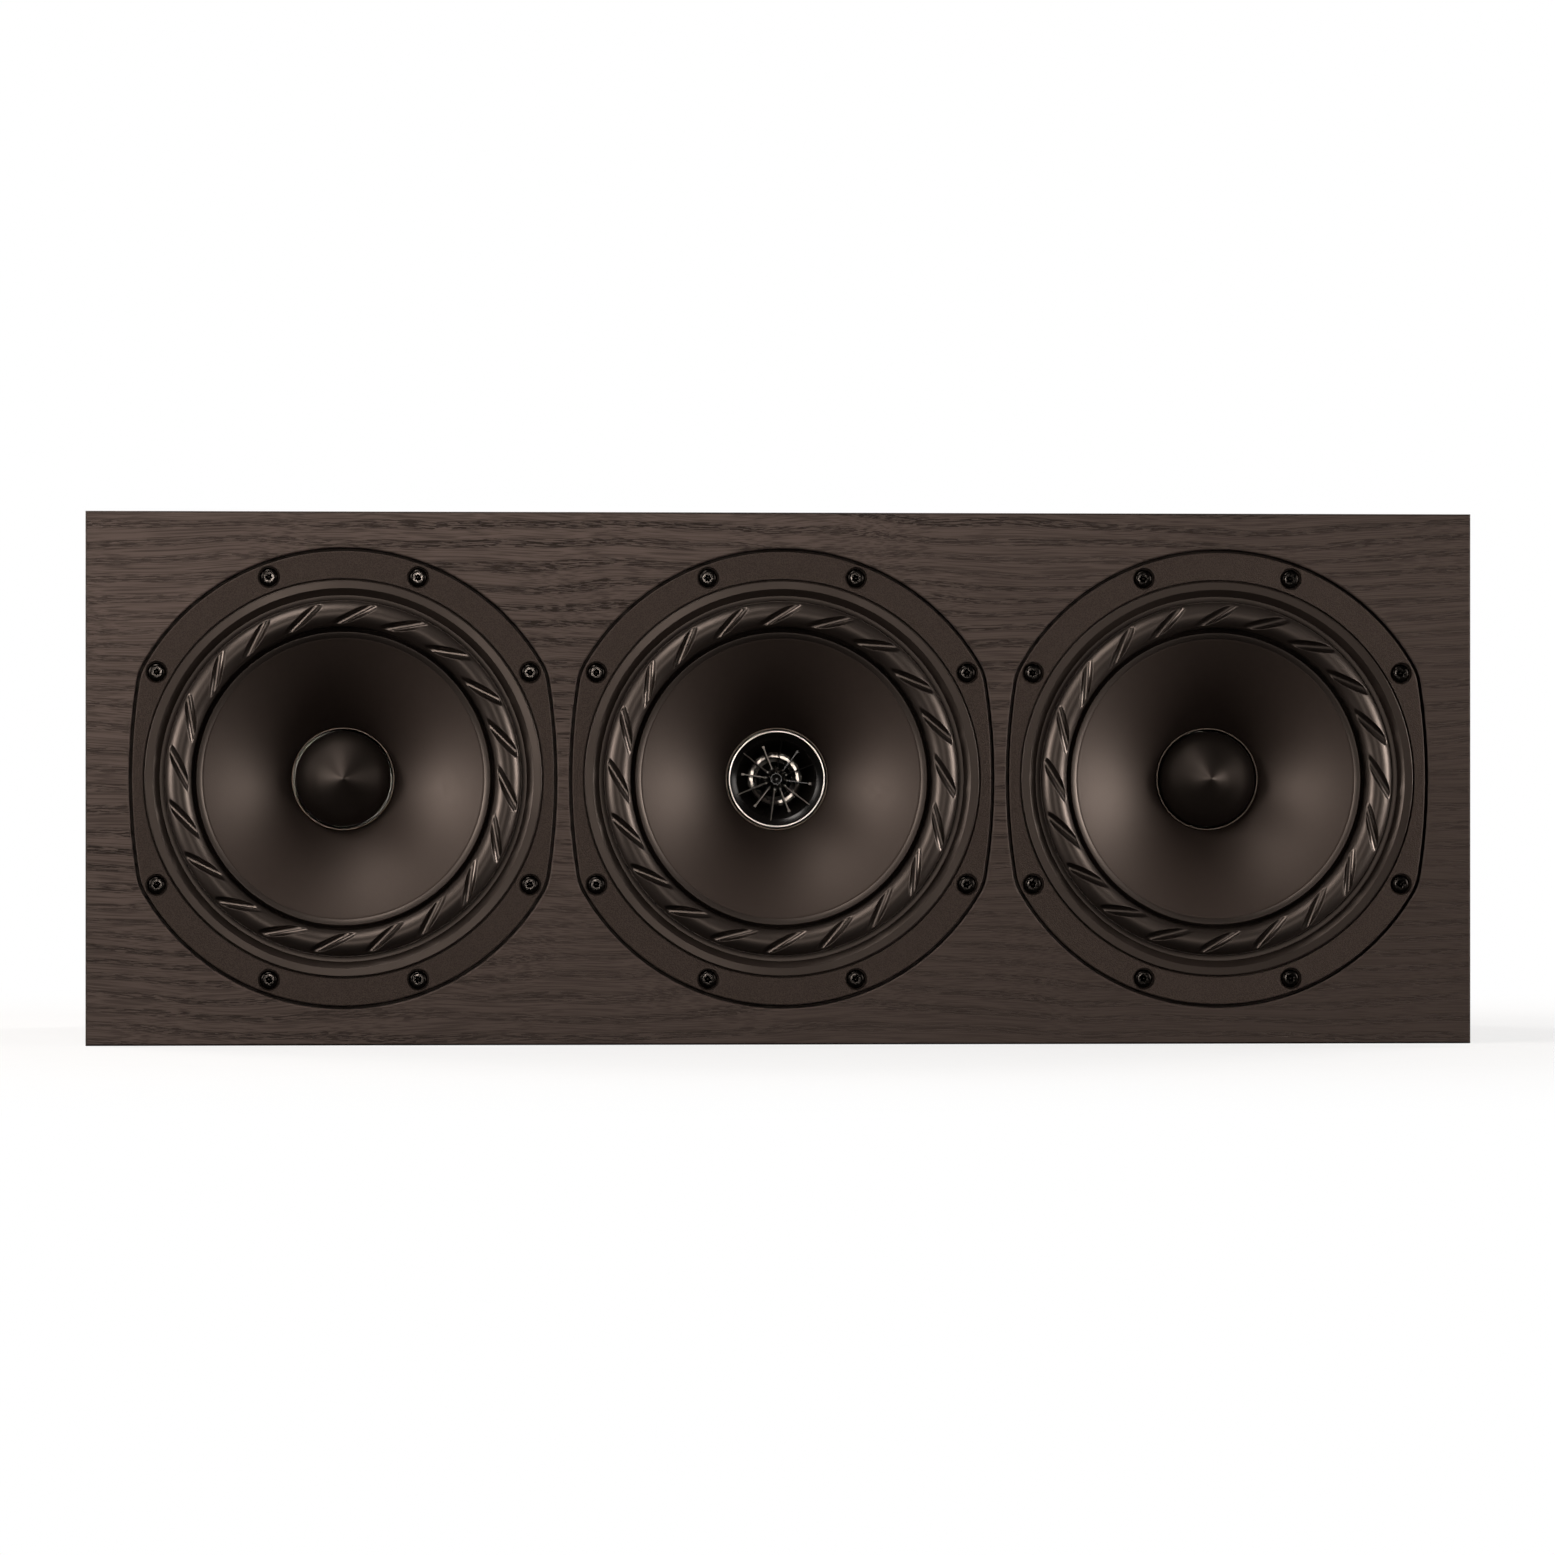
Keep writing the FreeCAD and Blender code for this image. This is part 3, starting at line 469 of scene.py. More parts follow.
def veneer(name, with_edges_and_recess_shade=False):
    """Dark open-pored veneer, its grain along the cabinet and down its ends, paled by painted light
    towards the upper left, with black edges and painted black shade in its recesses if asked.
    """
    def along(lengthwise, crosswise):
        return (lengthwise, crosswise, crosswise)
    finish = Finish(name, specular_ior_level=0.3, specular_tint=WARM_GLOSS)
    # Black near the front's outline, and painted shade that blackens the recesses.
    black = finish.math("MAXIMUM", finish.near_edge(), finish.recess_shade()) if with_edges_and_recess_shade else 0.0
    # Painted light: the veneer is paler and its grain bands bolder towards the upper left.
    painted_light = finish.painted_light()
    finish.turn_on_ends()
    wavy = finish.swayed(along(6.0, 15.0), 0.020)
    rings = finish.wave("DIAGONAL", GRAIN_PITCH, finish.stretched(along(0.0, 1.0), wavy))
    patchy = finish.ramp(finish.noise(1.0, along(6.0, 40.0), 2.0), 0.35, 0.62, 0.55, 1.0)
    faint = finish.math("MULTIPLY", patchy, finish.ramp(painted_light, 0.0, 0.7, 0.6, 1.0))
    bands = finish.math("MULTIPLY", finish.ramp(rings, 0.38, 0.80), faint)
    pores = finish.ramp(finish.noise(1.0, along(150.0, 2600.0), 3.0, wavy), 0.47, 0.54)
    fibres = finish.noise(1.0, along(26.0, 2600.0), 3.0, wavy)
    clouds = finish.noise(1.0, along(4.0, 16.0), 3.0)
    cut = finish.math("MULTIPLY", bands, pores)
    # The ground takes the painted light, broken up by clouds.
    painted_light_in_clouds = finish.math("MULTIPLY", painted_light, finish.ramp(clouds, 0.2, 0.8, 0.6, 1.0))
    ground = finish.mix(painted_light_in_clouds, (0.046, 0.034, 0.0295), (0.130, 0.0965, 0.084))
    streaked = finish.mix(finish.ramp(fibres, 0.40, 0.65, 0.0, 0.7), ground, (0.030, 0.022, 0.019))
    tone = finish.mix(cut, streaked, (0.013, 0.0095, 0.008))
    # Painted recess shade and the edge line go near black.
    finish.set("Base Color", finish.mix(black, tone, (0.006, 0.0045, 0.004)))
    finish.set("Roughness", finish.ramp(fibres, 0.3, 0.7, 0.46, 0.60))
    relief = finish.math("SUBTRACT", finish.math("MULTIPLY", fibres, 0.2), cut)
    finish.bump(relief, 0.13)
    return finish.material


def moulded(name, dark, pale, rough, grain_mm, depth_mm, **constants):
    """A moulded or painted surface with a fine even grain and slow cloudy variation."""
    finish = Finish(name, **constants)
    grain = finish.noise(1.0 / (grain_mm * MM), detail=3.0)
    clouds = finish.noise(18.0, detail=3.0)
    finish.set("Base Color", finish.mix(finish.math("MULTIPLY", clouds, grain), dark, pale))
    finish.set("Roughness", finish.ramp(clouds, 0.3, 0.7, rough - 0.05, rough + 0.05))
    finish.bump(grain, depth_mm)
    return finish.material


def crinkle_paint():
    """Black crinkle coat on the cast baskets."""
    finish = Finish("basket_paint", specular_ior_level=0.28, specular_tint=WARM_GLOSS)
    wrinkles = finish.cells(2200.0)
    fine = finish.noise(3600.0, detail=3.0)
    clouds = finish.noise(14.0, detail=2.0)
    tone = finish.mix(clouds, (0.014, 0.010, 0.0083), (0.022, 0.0158, 0.0132))
    finish.set("Base Color", finish.mix(finish.ramp(wrinkles, 0.1, 0.7), tone, (0.042, 0.0306, 0.0257)))
    finish.set("Roughness", finish.ramp(fine, 0.3, 0.7, 0.45, 0.6))
    finish.bump(finish.math("ADD", wrinkles, finish.math("MULTIPLY", fine, 0.5)), 0.12)
    return finish.material


def rubber():
    """Satin rubber, glossier in its flutes, with painted shade that makes the flutes blacker."""
    finish = Finish("surround_rubber", specular_ior_level=0.9, specular_tint=WARM_GLOSS)
    depth = finish.add("Attribute", attribute_name=HOLLOW_MARK).outputs["Fac"]
    grain = finish.noise(2000.0, detail=3.0)
    clouds = finish.noise(18.0, detail=3.0)
    mottle = finish.math("MULTIPLY", clouds, grain)
    tone = finish.mix(mottle, (0.005, 0.0037, 0.0031), (0.010, 0.0073, 0.0061))
    # Painted shade: the base goes near black in the flutes' hollows.
    finish.set("Base Color", finish.mix(depth, tone, (0.0025, 0.0018, 0.0015)))
    satin = finish.ramp(clouds, 0.3, 0.7, 0.43, 0.47)
    finish.set("Roughness", finish.math("SUBTRACT", satin, finish.math("MULTIPLY", depth, 0.16)))
    finish.bump(grain, 0.006)
    return finish.material


def cone_paper():
    """Coated pressed paper, with short fibres under a satin coat."""
    finish = Finish("cone_paper", specular_ior_level=0.5, specular_tint=WARM_GLOSS)
    fibres = finish.noise(1500.0, detail=3.0)
    felt = finish.noise(500.0, detail=4.0)
    finish.set("Base Color", finish.mix(felt, (0.020, 0.0138, 0.0115), (0.028, 0.0198, 0.0167)))
    finish.set("Roughness", finish.ramp(felt, 0.3, 0.7, 0.49, 0.53))
    finish.bump(fibres, 0.02)
    return finish.material


def turned_metal(name, dark, pale, rough):
    """Turned metal with fine rings about the centre driver's axis."""
    finish = Finish(name, metallic=1.0)
    rings = finish.add("TexWave", wave_type="RINGS", rings_direction="Y")
    finish.put(rings.inputs["Vector"], finish.vector("SUBTRACT", finish.place, (0.0, 0.0, AXIS_Z * MM)))
    rings.inputs["Scale"].default_value = TURN / AXIS_WAVE_TURN / (TURNING_PITCH * MM)
    rings.inputs["Distortion"].default_value = 0.4
    clouds = finish.noise(120.0, detail=3.0)
    lines = rings.outputs["Fac"]
    finish.set("Base Color", finish.mix(finish.math("MULTIPLY", clouds, lines), dark, pale))
    finish.set("Roughness", finish.ramp(clouds, 0.3, 0.7, rough - 0.06, rough + 0.06))
    finish.bump(lines, 0.004)
    return finish.material


def worn_metal(name, dark, pale, rough):
    """Plated metal with faint blotches and rubbed patches."""
    finish = Finish(name, metallic=1.0)
    blotches = finish.noise(140.0, detail=4.0)
    scuffs = finish.noise(1.0, (900.0, 90.0, 900.0), 3.0)
    finish.set("Base Color", finish.mix(blotches, dark, pale))
    finish.set("Roughness", finish.ramp(scuffs, 0.3, 0.7, rough - 0.08, rough + 0.08))
    finish.bump(scuffs, 0.004)
    return finish.material


def shade_patched_metal():
    """Polished metal with dark patches of painted shade that break its reflections into bright arcs."""
    finish = Finish("throat_metal", metallic=1.0)
    shade_patches = finish.ramp(finish.noise(170.0, detail=2.0), 0.45, 0.6)
    # Painted shade: dark patches break up the ring's reflections.
    finish.set("Base Color", finish.mix(shade_patches, (0.04, 0.034, 0.03), (0.80, 0.73, 0.65)))
    finish.set("Roughness", finish.ramp(shade_patches, 0.0, 1.0, 0.5, 0.34))
    finish.bump(shade_patches, 0.01)
    return finish.material


def woven(name, dark, pale, thread_mm):
    """Woven cloth seen along the driver axis."""
    finish = Finish(name, roughness=0.85, sheen_weight=0.2)
    weave = finish.math("MULTIPLY", finish.wave("X", thread_mm), finish.wave("Z", thread_mm))
    finish.set("Base Color", finish.mix(weave, dark, pale))
    finish.bump(weave, 0.1)
    return finish.material


def winding(name, dark, pale, turn_mm, axis):
    """Enamelled wire laid in close turns."""
    finish = Finish(name, metallic=1.0, coat_weight=0.4)
    turns = finish.wave(axis, turn_mm)
    tarnish = finish.noise(300.0, detail=3.0)
    finish.set("Base Color", finish.mix(finish.math("MULTIPLY", turns, tarnish), dark, pale))
    finish.set("Roughness", finish.ramp(tarnish, 0.3, 0.7, 0.25, 0.4))
    finish.bump(turns, 0.1)
    return finish.material


SLOTS = {
    "veneer": veneer("veneer"),
    "mdf": moulded("mdf", (0.20, 0.12, 0.06), (0.32, 0.21, 0.12), 0.8, 0.8, 0.08),
    "basket_paint": crinkle_paint(),
    "gasket_foam": moulded("gasket_foam", (0.01, 0.01, 0.01), (0.03, 0.03, 0.03), 0.9, 0.7, 0.2),
    "trim_plastic": moulded(
        "trim_plastic", (0.011, 0.008, 0.0067), (0.020, 0.0145, 0.012), 0.38, 0.25, 0.006,
        specular_ior_level=0.5, specular_tint=WARM_GLOSS),
    "surround_rubber": rubber(),
    "cone_paper": cone_paper(),
    "coil_former": worn_metal("coil_former", (0.11, 0.085, 0.068), (0.23, 0.185, 0.15), 0.42),
    "spider_cloth": woven("spider_cloth", (0.25, 0.16, 0.06), (0.50, 0.36, 0.16), 0.5),
    "motor_steel": worn_metal("motor_steel", (0.35, 0.34, 0.31), (0.55, 0.53, 0.48), 0.4),
    "ferrite": moulded("ferrite", (0.02, 0.02, 0.021), (0.05, 0.05, 0.052), 0.7, 0.4, 0.04),
    "plug_metal": moulded(
        "plug_metal", (0.004, 0.003, 0.0026), (0.008, 0.006, 0.005), 0.50, 0.2, 0.002,
        specular_ior_level=0.8, specular_tint=WARM_GLOSS),
    "horn_black": moulded("horn_black", (0.004, 0.0035, 0.003), (0.012, 0.010, 0.009), 0.22, 0.3, 0.004),
    "fin_black": moulded(
        "fin_black", (0.20, 0.18, 0.16), (0.34, 0.31, 0.28), 0.42, 0.3, 0.004, metallic=0.9),
    "dome_metal": turned_metal("dome_metal", (0.62, 0.58, 0.52), (0.85, 0.80, 0.74), 0.28),
    "cup_steel": worn_metal("cup_steel", (0.40, 0.40, 0.40), (0.60, 0.60, 0.60), 0.4),
    "nickel": worn_metal("nickel", (0.50, 0.48, 0.44), (0.70, 0.68, 0.63), 0.25),
    "screw_black": worn_metal("screw_black", (0.025, 0.022, 0.020), (0.060, 0.053, 0.048), 0.23),
    "port_plastic": moulded(
        "port_plastic", (0.012, 0.011, 0.010), (0.03, 0.028, 0.026), 0.45, 0.45, 0.03),
    "terminal_plastic": moulded(
        "terminal_plastic", (0.012, 0.011, 0.010), (0.032, 0.030, 0.028), 0.5, 0.4, 0.04),
    "gilt_brass": worn_metal("gilt_brass", (0.80, 0.52, 0.16), (0.95, 0.70, 0.30), 0.22),
    "knob_red": moulded("knob_red", (0.30, 0.008, 0.008), (0.48, 0.02, 0.018), 0.28, 0.3, 0.004),
    "knob_black": moulded("knob_black", (0.008, 0.008, 0.008), (0.026, 0.026, 0.026), 0.28, 0.3, 0.004),
    "board_green": moulded("board_green", (0.01, 0.07, 0.03), (0.02, 0.15, 0.07), 0.35, 1.2, 0.01),
    "copper_wire": winding("copper_wire", (0.50, 0.20, 0.09), (0.90, 0.45, 0.25), 1.0, "Z"),
    "capacitor_film": moulded("capacitor_film", (0.30, 0.16, 0.02), (0.55, 0.34, 0.06), 0.35, 1.0, 0.02),
    "lead_cover": moulded("lead_cover", (0.02, 0.02, 0.02), (0.06, 0.06, 0.06), 0.45, 0.4, 0.01),
}
FRONT_VENEER = veneer("front_veneer", with_edges_and_recess_shade=True)
HORN_LIP = turned_metal("horn_lip", (0.64, 0.59, 0.54), (0.86, 0.81, 0.75), 0.34)
SHADE_PATCHED_METAL = shade_patched_metal()


def finish_cad_nodes():
    """Gives every CAD node the finish of its slot."""
    for subpart in frame["record"]["subparts"]:
        node = subpart["node"]
        own = SLOTS[subpart["material_slot"]]
        if node == "front_baffle":
            own = FRONT_VENEER
        mesh = frame["nodes"][node].data
        mesh.materials.clear()
        mesh.materials.append(own)


# Driver pieces

def flute_shift(radius):
    """How far a flute has turned about the driver axis where it crosses a radius."""
    rise = ROLL_CENTRE * math.sin(FLUTE_TILT)
    run = math.sqrt(rise ** 2 - ROLL_CENTRE ** 2 + radius ** 2) - rise
    return math.atan2(run * math.cos(FLUTE_TILT), ROLL_CENTRE + run * math.sin(FLUTE_TILT))


def flute_floor(radius, angle, drop):
    """Depth of a flute's hollow at a point, by its angle from the middle of the flute."""
    out = radius * math.cos(angle) - ROLL_CENTRE
    along = radius * math.sin(angle)
    off = out * math.cos(FLUTE_TILT) - along * math.sin(FLUTE_TILT)
    lowest = ROLL_BASE - ROLL_RADIUS + FLUTE_DEPTH + drop
    return lowest - FLUTE_DEPTH * (abs(off) / FLUTE_HALF_WIDTH) ** FLUTE_HOLLOW


def flute_reach(radius, depth, shift, side):
    """Angle from a flute's middle line to its edge on one side, where it crosses a radius."""
    inside = FLUTE_LEAST / ROLL_CENTRE
    outside = TURN / FLUTES / 2
    if flute_floor(radius, shift + side * inside, 0.0) < depth:
        return inside
    for _ in range(FLUTE_SEARCH_STEPS):
        middle = (inside + outside) / 2
        if flute_floor(radius, shift + side * middle, 0.0) > depth:
            inside = middle
        else:
            outside = middle
    return inside


def flute_columns(before, after):
    """Angles across one flute's share of the roll, with close columns at the flute's two edges."""
    half = TURN / FLUTES / 2
    edge = FLUTE_EDGE / math.sin(FLUTE_TILT) / ROLL_CENTRE
    close = [edge * share for share in FLUTE_EDGE_SHARES]
    reach = close[-1]
    first_run = (half - before - reach) / RIDGE_STEPS
    hollow_run = (before + after - 2 * reach) / HOLLOW_STEPS
    last_run = (half - after - reach) / RIDGE_STEPS
    ridge = [-half + first_run * step for step in range(RIDGE_STEPS)]
    hollow = [-before + reach + hollow_run * step for step in range(1, HOLLOW_STEPS)]
    rest = [after + reach + last_run * step for step in range(1, RIDGE_STEPS)]
    return ridge + [-before + off for off in close] + hollow + [after + off for off in close] + rest


def deeper(first, second):
    """The deeper of two depths, with a soft edge between them."""
    return (first + second + math.hypot(first - second, FLUTE_EDGE)) / 2


def surround_profile():
    """The surround's section as (radius, depth, how much deeper its flutes are, or none)."""
    foot = ROLL_BASE + FOOT_DROP
    slope = foot + RIM_SLOPE
    rim = FOOT_INNER + FOOT_RIM
    valley = foot + VALLEY_DROP
    crease = ROLL_BASE + CREASE_DROP
    under = valley + 0.4
    inner = [
        (FOOT_INNER, slope + 0.15),
        (FOOT_INNER + 0.15, slope),
        (rim - 0.4, foot + 0.08),
        (rim - 0.1, foot + 0.06),
        (rim, foot + 0.2),
        (rim + 0.1, foot + 0.6),
        ((rim + ROLL_INNER) / 2, valley),
        (ROLL_INNER, foot + 0.4),
        (ROLL_INNER, ROLL_BASE + 0.6),
    ]
    outer = [
        (ROLL_OUTER + 0.02, crease),
        (ROLL_OUTER + 0.2, crease),
        (ROLL_OUTER + 0.3, ROLL_BASE + 0.15),
        (ROLL_OUTER + 0.5, ROLL_BASE),
        (TRIM_INNER - 0.2, ROLL_BASE),
        (EDGE_OUTER, ROLL_BASE),
        (EDGE_OUTER, ROLL_BASE + RUBBER),
        (ROLL_OUTER - RUBBER, ROLL_BASE + RUBBER),
    ]
    below = [
        (ROLL_INNER + RUBBER / 2, under),
        (rim - 0.2, under),
        (rim - 0.2, foot + RUBBER),
        (FOOT_INNER, foot + RUBBER),
    ]
    crown = half_roll(ROLL_RADIUS, ROLL_STEPS, 0.0)
    hollow = half_roll(ROLL_RADIUS - RUBBER, ROLL_BACK_STEPS, RUBBER)[::-1]
    plain = [[(radius, depth, None) for radius, depth in run] for run in (inner, outer, below)]
    return plain[0] + crown + plain[1] + hollow + plain[2]


def half_roll(reach, steps, drop):
    """Points over the roll at a distance from its middle line, from the cone's side outwards."""
    points = []
    for step in range(steps + 1):
        angle = math.pi * step / steps
        points.append((ROLL_CENTRE - reach * math.cos(angle), ROLL_BASE - reach * math.sin(angle), drop))
    return points


def surround(name, x):
    """The fluted rubber roll, whose mesh follows the edges of its flutes."""
    profile = surround_profile()
    first = math.radians(FLUTE_FIRST[name])
    pitch = TURN / FLUTES
    verts = []
    for radius, depth, drop in profile:
        shift = flute_shift(min(max(radius, ROLL_INNER), ROLL_OUTER))
        surface = depth if drop is None else depth - drop
        before = flute_reach(radius, surface, shift, -1)
        after = flute_reach(radius, surface, shift, 1)
        offsets = flute_columns(before, after)
        depths = [depth] * len(offsets)
        if drop is not None:
            depths = [deeper(depth, flute_floor(radius, shift + offset, drop)) for offset in offsets]
        for flute in range(FLUTES):
            middle = first + pitch * flute + shift
            for offset, own_depth in zip(offsets, depths):
                verts.append(driver_point(x, radius, middle + offset, own_depth))
    faces = grid_faces(len(profile), len(verts) // len(profile))
    piece = add_piece(
        f"{name}_rubber_surround", verts, faces, [SLOTS["surround_rubber"]], None, 60)
    mark_hollows(piece, x)
    flexible(piece, x)
    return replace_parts(piece, f"{name}_surround")


def radii_and_depths(piece, x):
    """Each vertex's distance from a driver's axis and its depth behind the front."""
    places = np.empty(len(piece.data.vertices) * 3)
    piece.data.vertices.foreach_get("co", places)
    places = places.reshape(-1, 3) / MM
    return np.hypot(places[:, 0] - x, places[:, 2] - AXIS_Z), places[:, 1] - FRONT_Y


def mark_hollows(piece, x):
    """Marks each vertex by how far it lies below the plain roll, for the rubber's gloss and painted shade
    in its flutes.
    """
    radii, depths = radii_and_depths(piece, x)
    off = np.clip(radii - ROLL_CENTRE, -ROLL_RADIUS, ROLL_RADIUS)
    crown = ROLL_BASE - np.sqrt(ROLL_RADIUS ** 2 - off ** 2)
    below = np.where(np.abs(off) < ROLL_RADIUS, depths - crown, 0.0)
    mark = piece.data.attributes.new(HOLLOW_MARK, "FLOAT", "POINT")
    mark.data.foreach_set("value", np.clip(below / FLUTE_MARK_DEPTH, 0.0, 1.0).astype(np.float32))


def flexible(piece, x):
    """Bakes a ring's placing into its mesh and works out its vertices' distances from the driver axis."""
    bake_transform(piece)
    radii, _ = radii_and_depths(piece, x)


def cone(name, x):
    """The bowed paper cone, with a rim under the surround's foot."""
    wall = bowed((FOOT_INNER, CONE_TOP), (NECK_RADIUS, NECK_DEPTH), CONE_BOW, 48)
    behind = [(radius, depth + CONE_THICK) for radius, depth in reversed(wall[::4])]
    rim = FOOT_INNER + CONE_RIM
    profile = [(rim, CONE_TOP)] + wall + behind + [(rim, CONE_TOP + CONE_THICK)]
    verts, faces = lathe(profile, x, STEPS["cone"])
    piece = add_piece(
        f"{name}_paper_cone", verts, faces, [SLOTS["cone_paper"]], f"{name}_diaphragm")
    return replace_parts(piece, f"{name}_cone")


def voice_coil(name, x):
    """The former, whose front edge shows round the plug, with its winding."""
    former = softened([
        (FORMER_BORE, FORMER_FRONT),
        (FORMER_RADIUS, FORMER_FRONT),
        (FORMER_RADIUS, WINDING_END),
        (FORMER_BORE, WINDING_END),
    ], 0.15)
    verts, faces = lathe(former, x, STEPS["coil"])
    coil = softened([
        (FORMER_RADIUS, WINDING_START),
        (WINDING_RADIUS, WINDING_START),
        (WINDING_RADIUS, WINDING_END),
        (FORMER_RADIUS, WINDING_END),
    ], 0.2)
    more, wound = lathe(coil, x, STEPS["coil"])
    wound = [tuple(index + len(verts) for index in face) for face in wound]
    piece = add_piece(
        f"{name}_coil_former", verts + more, faces + wound,
        [SLOTS["coil_former"], SLOTS["copper_wire"]], f"{name}_diaphragm")
    for polygon in piece.data.polygons:
        out = math.hypot(polygon.center.x - x * MM, polygon.center.z - AXIS_Z * MM)
        polygon.material_index = int(out > (FORMER_RADIUS + 0.01) * MM)
    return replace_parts(piece, f"{name}_voice_coil")


def spider(name, x):
    """The corrugated cloth disc behind the cone."""
    wave_outer = SPIDER_OUTER - SPIDER_LAND
    steps = 12 * SPIDER_WAVES
    front = []
    for step in range(steps + 1):
        share = step / steps
        height = SPIDER_WAVE * math.sin(TURN * SPIDER_WAVES * share)
        front.append((SPIDER_INNER + (wave_outer - SPIDER_INNER) * share, SPIDER_FRONT - height))
    front.append((SPIDER_OUTER, SPIDER_FRONT))
    back = [(radius, depth + SPIDER_THICK) for radius, depth in reversed(front)]
    verts, faces = lathe(front + back, x, STEPS["spider"])
    piece = add_piece(
        f"{name}_cloth_spider", verts, faces, [SLOTS["spider_cloth"]], None, 60)
    flexible(piece, x)
    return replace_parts(piece, f"{name}_spider")


def trim_ring(name, x):
    """The smooth ring over the surround's edge."""
    profile = softened([
        (TRIM_INNER + TRIM_SLOPE_WIDTH, 0.0),
        (TRIM_OUTER, 0.0),
        (TRIM_OUTER, ROLL_BASE),
        (TRIM_INNER, ROLL_BASE),
        (TRIM_INNER, TRIM_SLOPE_DEPTH),
    ], TRIM_ROUND)
    verts, faces = lathe(profile, x, STEPS["trim"])
    piece = add_piece(
        f"{name}_smooth_ring", verts, faces, [SLOTS["trim_plastic"]], "cabinet")
    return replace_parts(piece, f"{name}_trim_ring")


def phase_plug(name, x):
    """A turned bullet with a pointed tip."""
    tip = Vector(PLUG_TIP)
    apex = Vector((0.0, PLUG_APEX))
    flank = [tuple(apex.lerp(tip, (step + 1) / PLUG_FLANK_STEPS)) for step in range(PLUG_FLANK_STEPS)]
    crown = [(0.0, PLUG_APEX + PLUG_BLUNT * 0.3), (PLUG_BLUNT * 0.6, PLUG_APEX + PLUG_BLUNT * 0.55)]
    shoulder = bowed(PLUG_TIP, (PLUG_RADIUS, PLUG_SHOULDER), -PLUG_BOW, 16)
    profile = crown + flank + shoulder[1:] + [(PLUG_RADIUS, PLUG_END), (0.0, PLUG_END)]
    verts, faces = lathe(profile, x, STEPS["plug"])
    piece = add_piece(
        f"{name}_bullet_plug", verts, faces, [SLOTS["plug_metal"]], "cabinet")
    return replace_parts(piece, f"{name}_phase_plug")


# Tweeter pieces

def horn_wall():
    """The inside of the horn from its mouth to its throat."""
    return bowed((PLUG_RADIUS - HORN_WALL, HORN_MOUTH), HORN_THROAT, HORN_BOW, 40)


def horn_radius(depth):
    wall = horn_wall()
    return float(np.interp(depth, [point[1] for point in wall], [point[0] for point in wall]))


def tweeter_horn():
    """A gloss horn with a bright flat lip."""
    inner = HORN_LIP_RADIUS - HORN_LIP_WIDTH
    lip_back = HORN_MOUTH + HORN_LIP_DEPTH
    lip = softened([
        (PLUG_RADIUS, lip_back + 0.4),
        (HORN_LIP_RADIUS, lip_back),
        (HORN_LIP_RADIUS, HORN_MOUTH),
        (inner, HORN_MOUTH),
        (inner, lip_back),
    ], 0.12)
    wall = [point for point in horn_wall() if point[1] > HORN_MOUTH + 1.5 * HORN_LIP_DEPTH]
    profile = [(PLUG_RADIUS, HORN_SEAT)] + lip + wall + [(HORN_THROAT[0], HORN_SEAT)]
    verts, faces = lathe(profile, DRIVERS["centre"], STEPS["horn"])
    piece = add_piece(
        "tweeter_gloss_horn", verts, faces, [SLOTS["horn_black"], HORN_LIP], "cabinet", 60)
    lip_end = (FRONT_Y + HORN_MOUTH + HORN_LIP_DEPTH / 2) * MM
    for polygon in piece.data.polygons:
        polygon.material_index = int(polygon.center.y < lip_end)
    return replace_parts(piece, "tweeter_horn")


def throat_ring():
    """A polished ring where the horn meets the diaphragm."""
    inner = THROAT_RING_OUTER - THROAT_RING_WIDTH
    profile = softened([
        (THROAT_RING_OUTER, THROAT_RING_BACK),
        (THROAT_RING_OUTER, THROAT_RING_FRONT),
        (inner, THROAT_RING_FRONT),
        (inner, THROAT_RING_BACK),
    ], 0.15)
    verts, faces = lathe(profile, DRIVERS["centre"], STEPS["throat"])
    return add_piece(
        "tweeter_throat_ring", verts, faces, [SHADE_PATCHED_METAL], "cabinet")


def slab(outline, angle, thickness):
    """A flat blade of (radius, depth) points at an angle about the tweeter's axis."""
    half = thickness / 2
    side = Vector((math.cos(angle), 0.0, -math.sin(angle))) * half * MM
    ring = [Vector(driver_point(DRIVERS["centre"], radius, angle, depth)) for radius, depth in outline]
    count = len(ring)
    verts = [point - side for point in ring] + [point + side for point in ring]
    faces = [tuple(range(count)), tuple(range(2 * count - 1, count - 1, -1))]
    for index in range(count):
        after = (index + 1) % count
        faces.append((index, after, count + after, count + index))
    return verts, faces


def bead(x, radius, angle, depth, size):
    """A small rounded nub that faces forward."""
    centre = Vector(driver_point(x, radius, angle, depth))
    verts = [centre - Vector((0.0, size * MM, 0.0))]
    faces = []
    sides = 12
    for tilt in (35, 70, 100):
        reach = size * math.sin(math.radians(tilt))
        ahead = size * math.cos(math.radians(tilt))
        for step in range(sides):
            turn = TURN * step / sides
            verts.append(centre + Vector((reach * math.cos(turn), -ahead, reach * math.sin(turn))) * MM)
    for step in range(sides):
        after = (step + 1) % sides
        faces.append((0, 1 + step, 1 + after))
        for row in (1, 1 + sides):
            faces.append((row + step, row + after, row + sides + after, row + sides + step))
    faces.append(tuple(range(1 + 2 * sides, 1 + 3 * sides)))
    return verts, faces


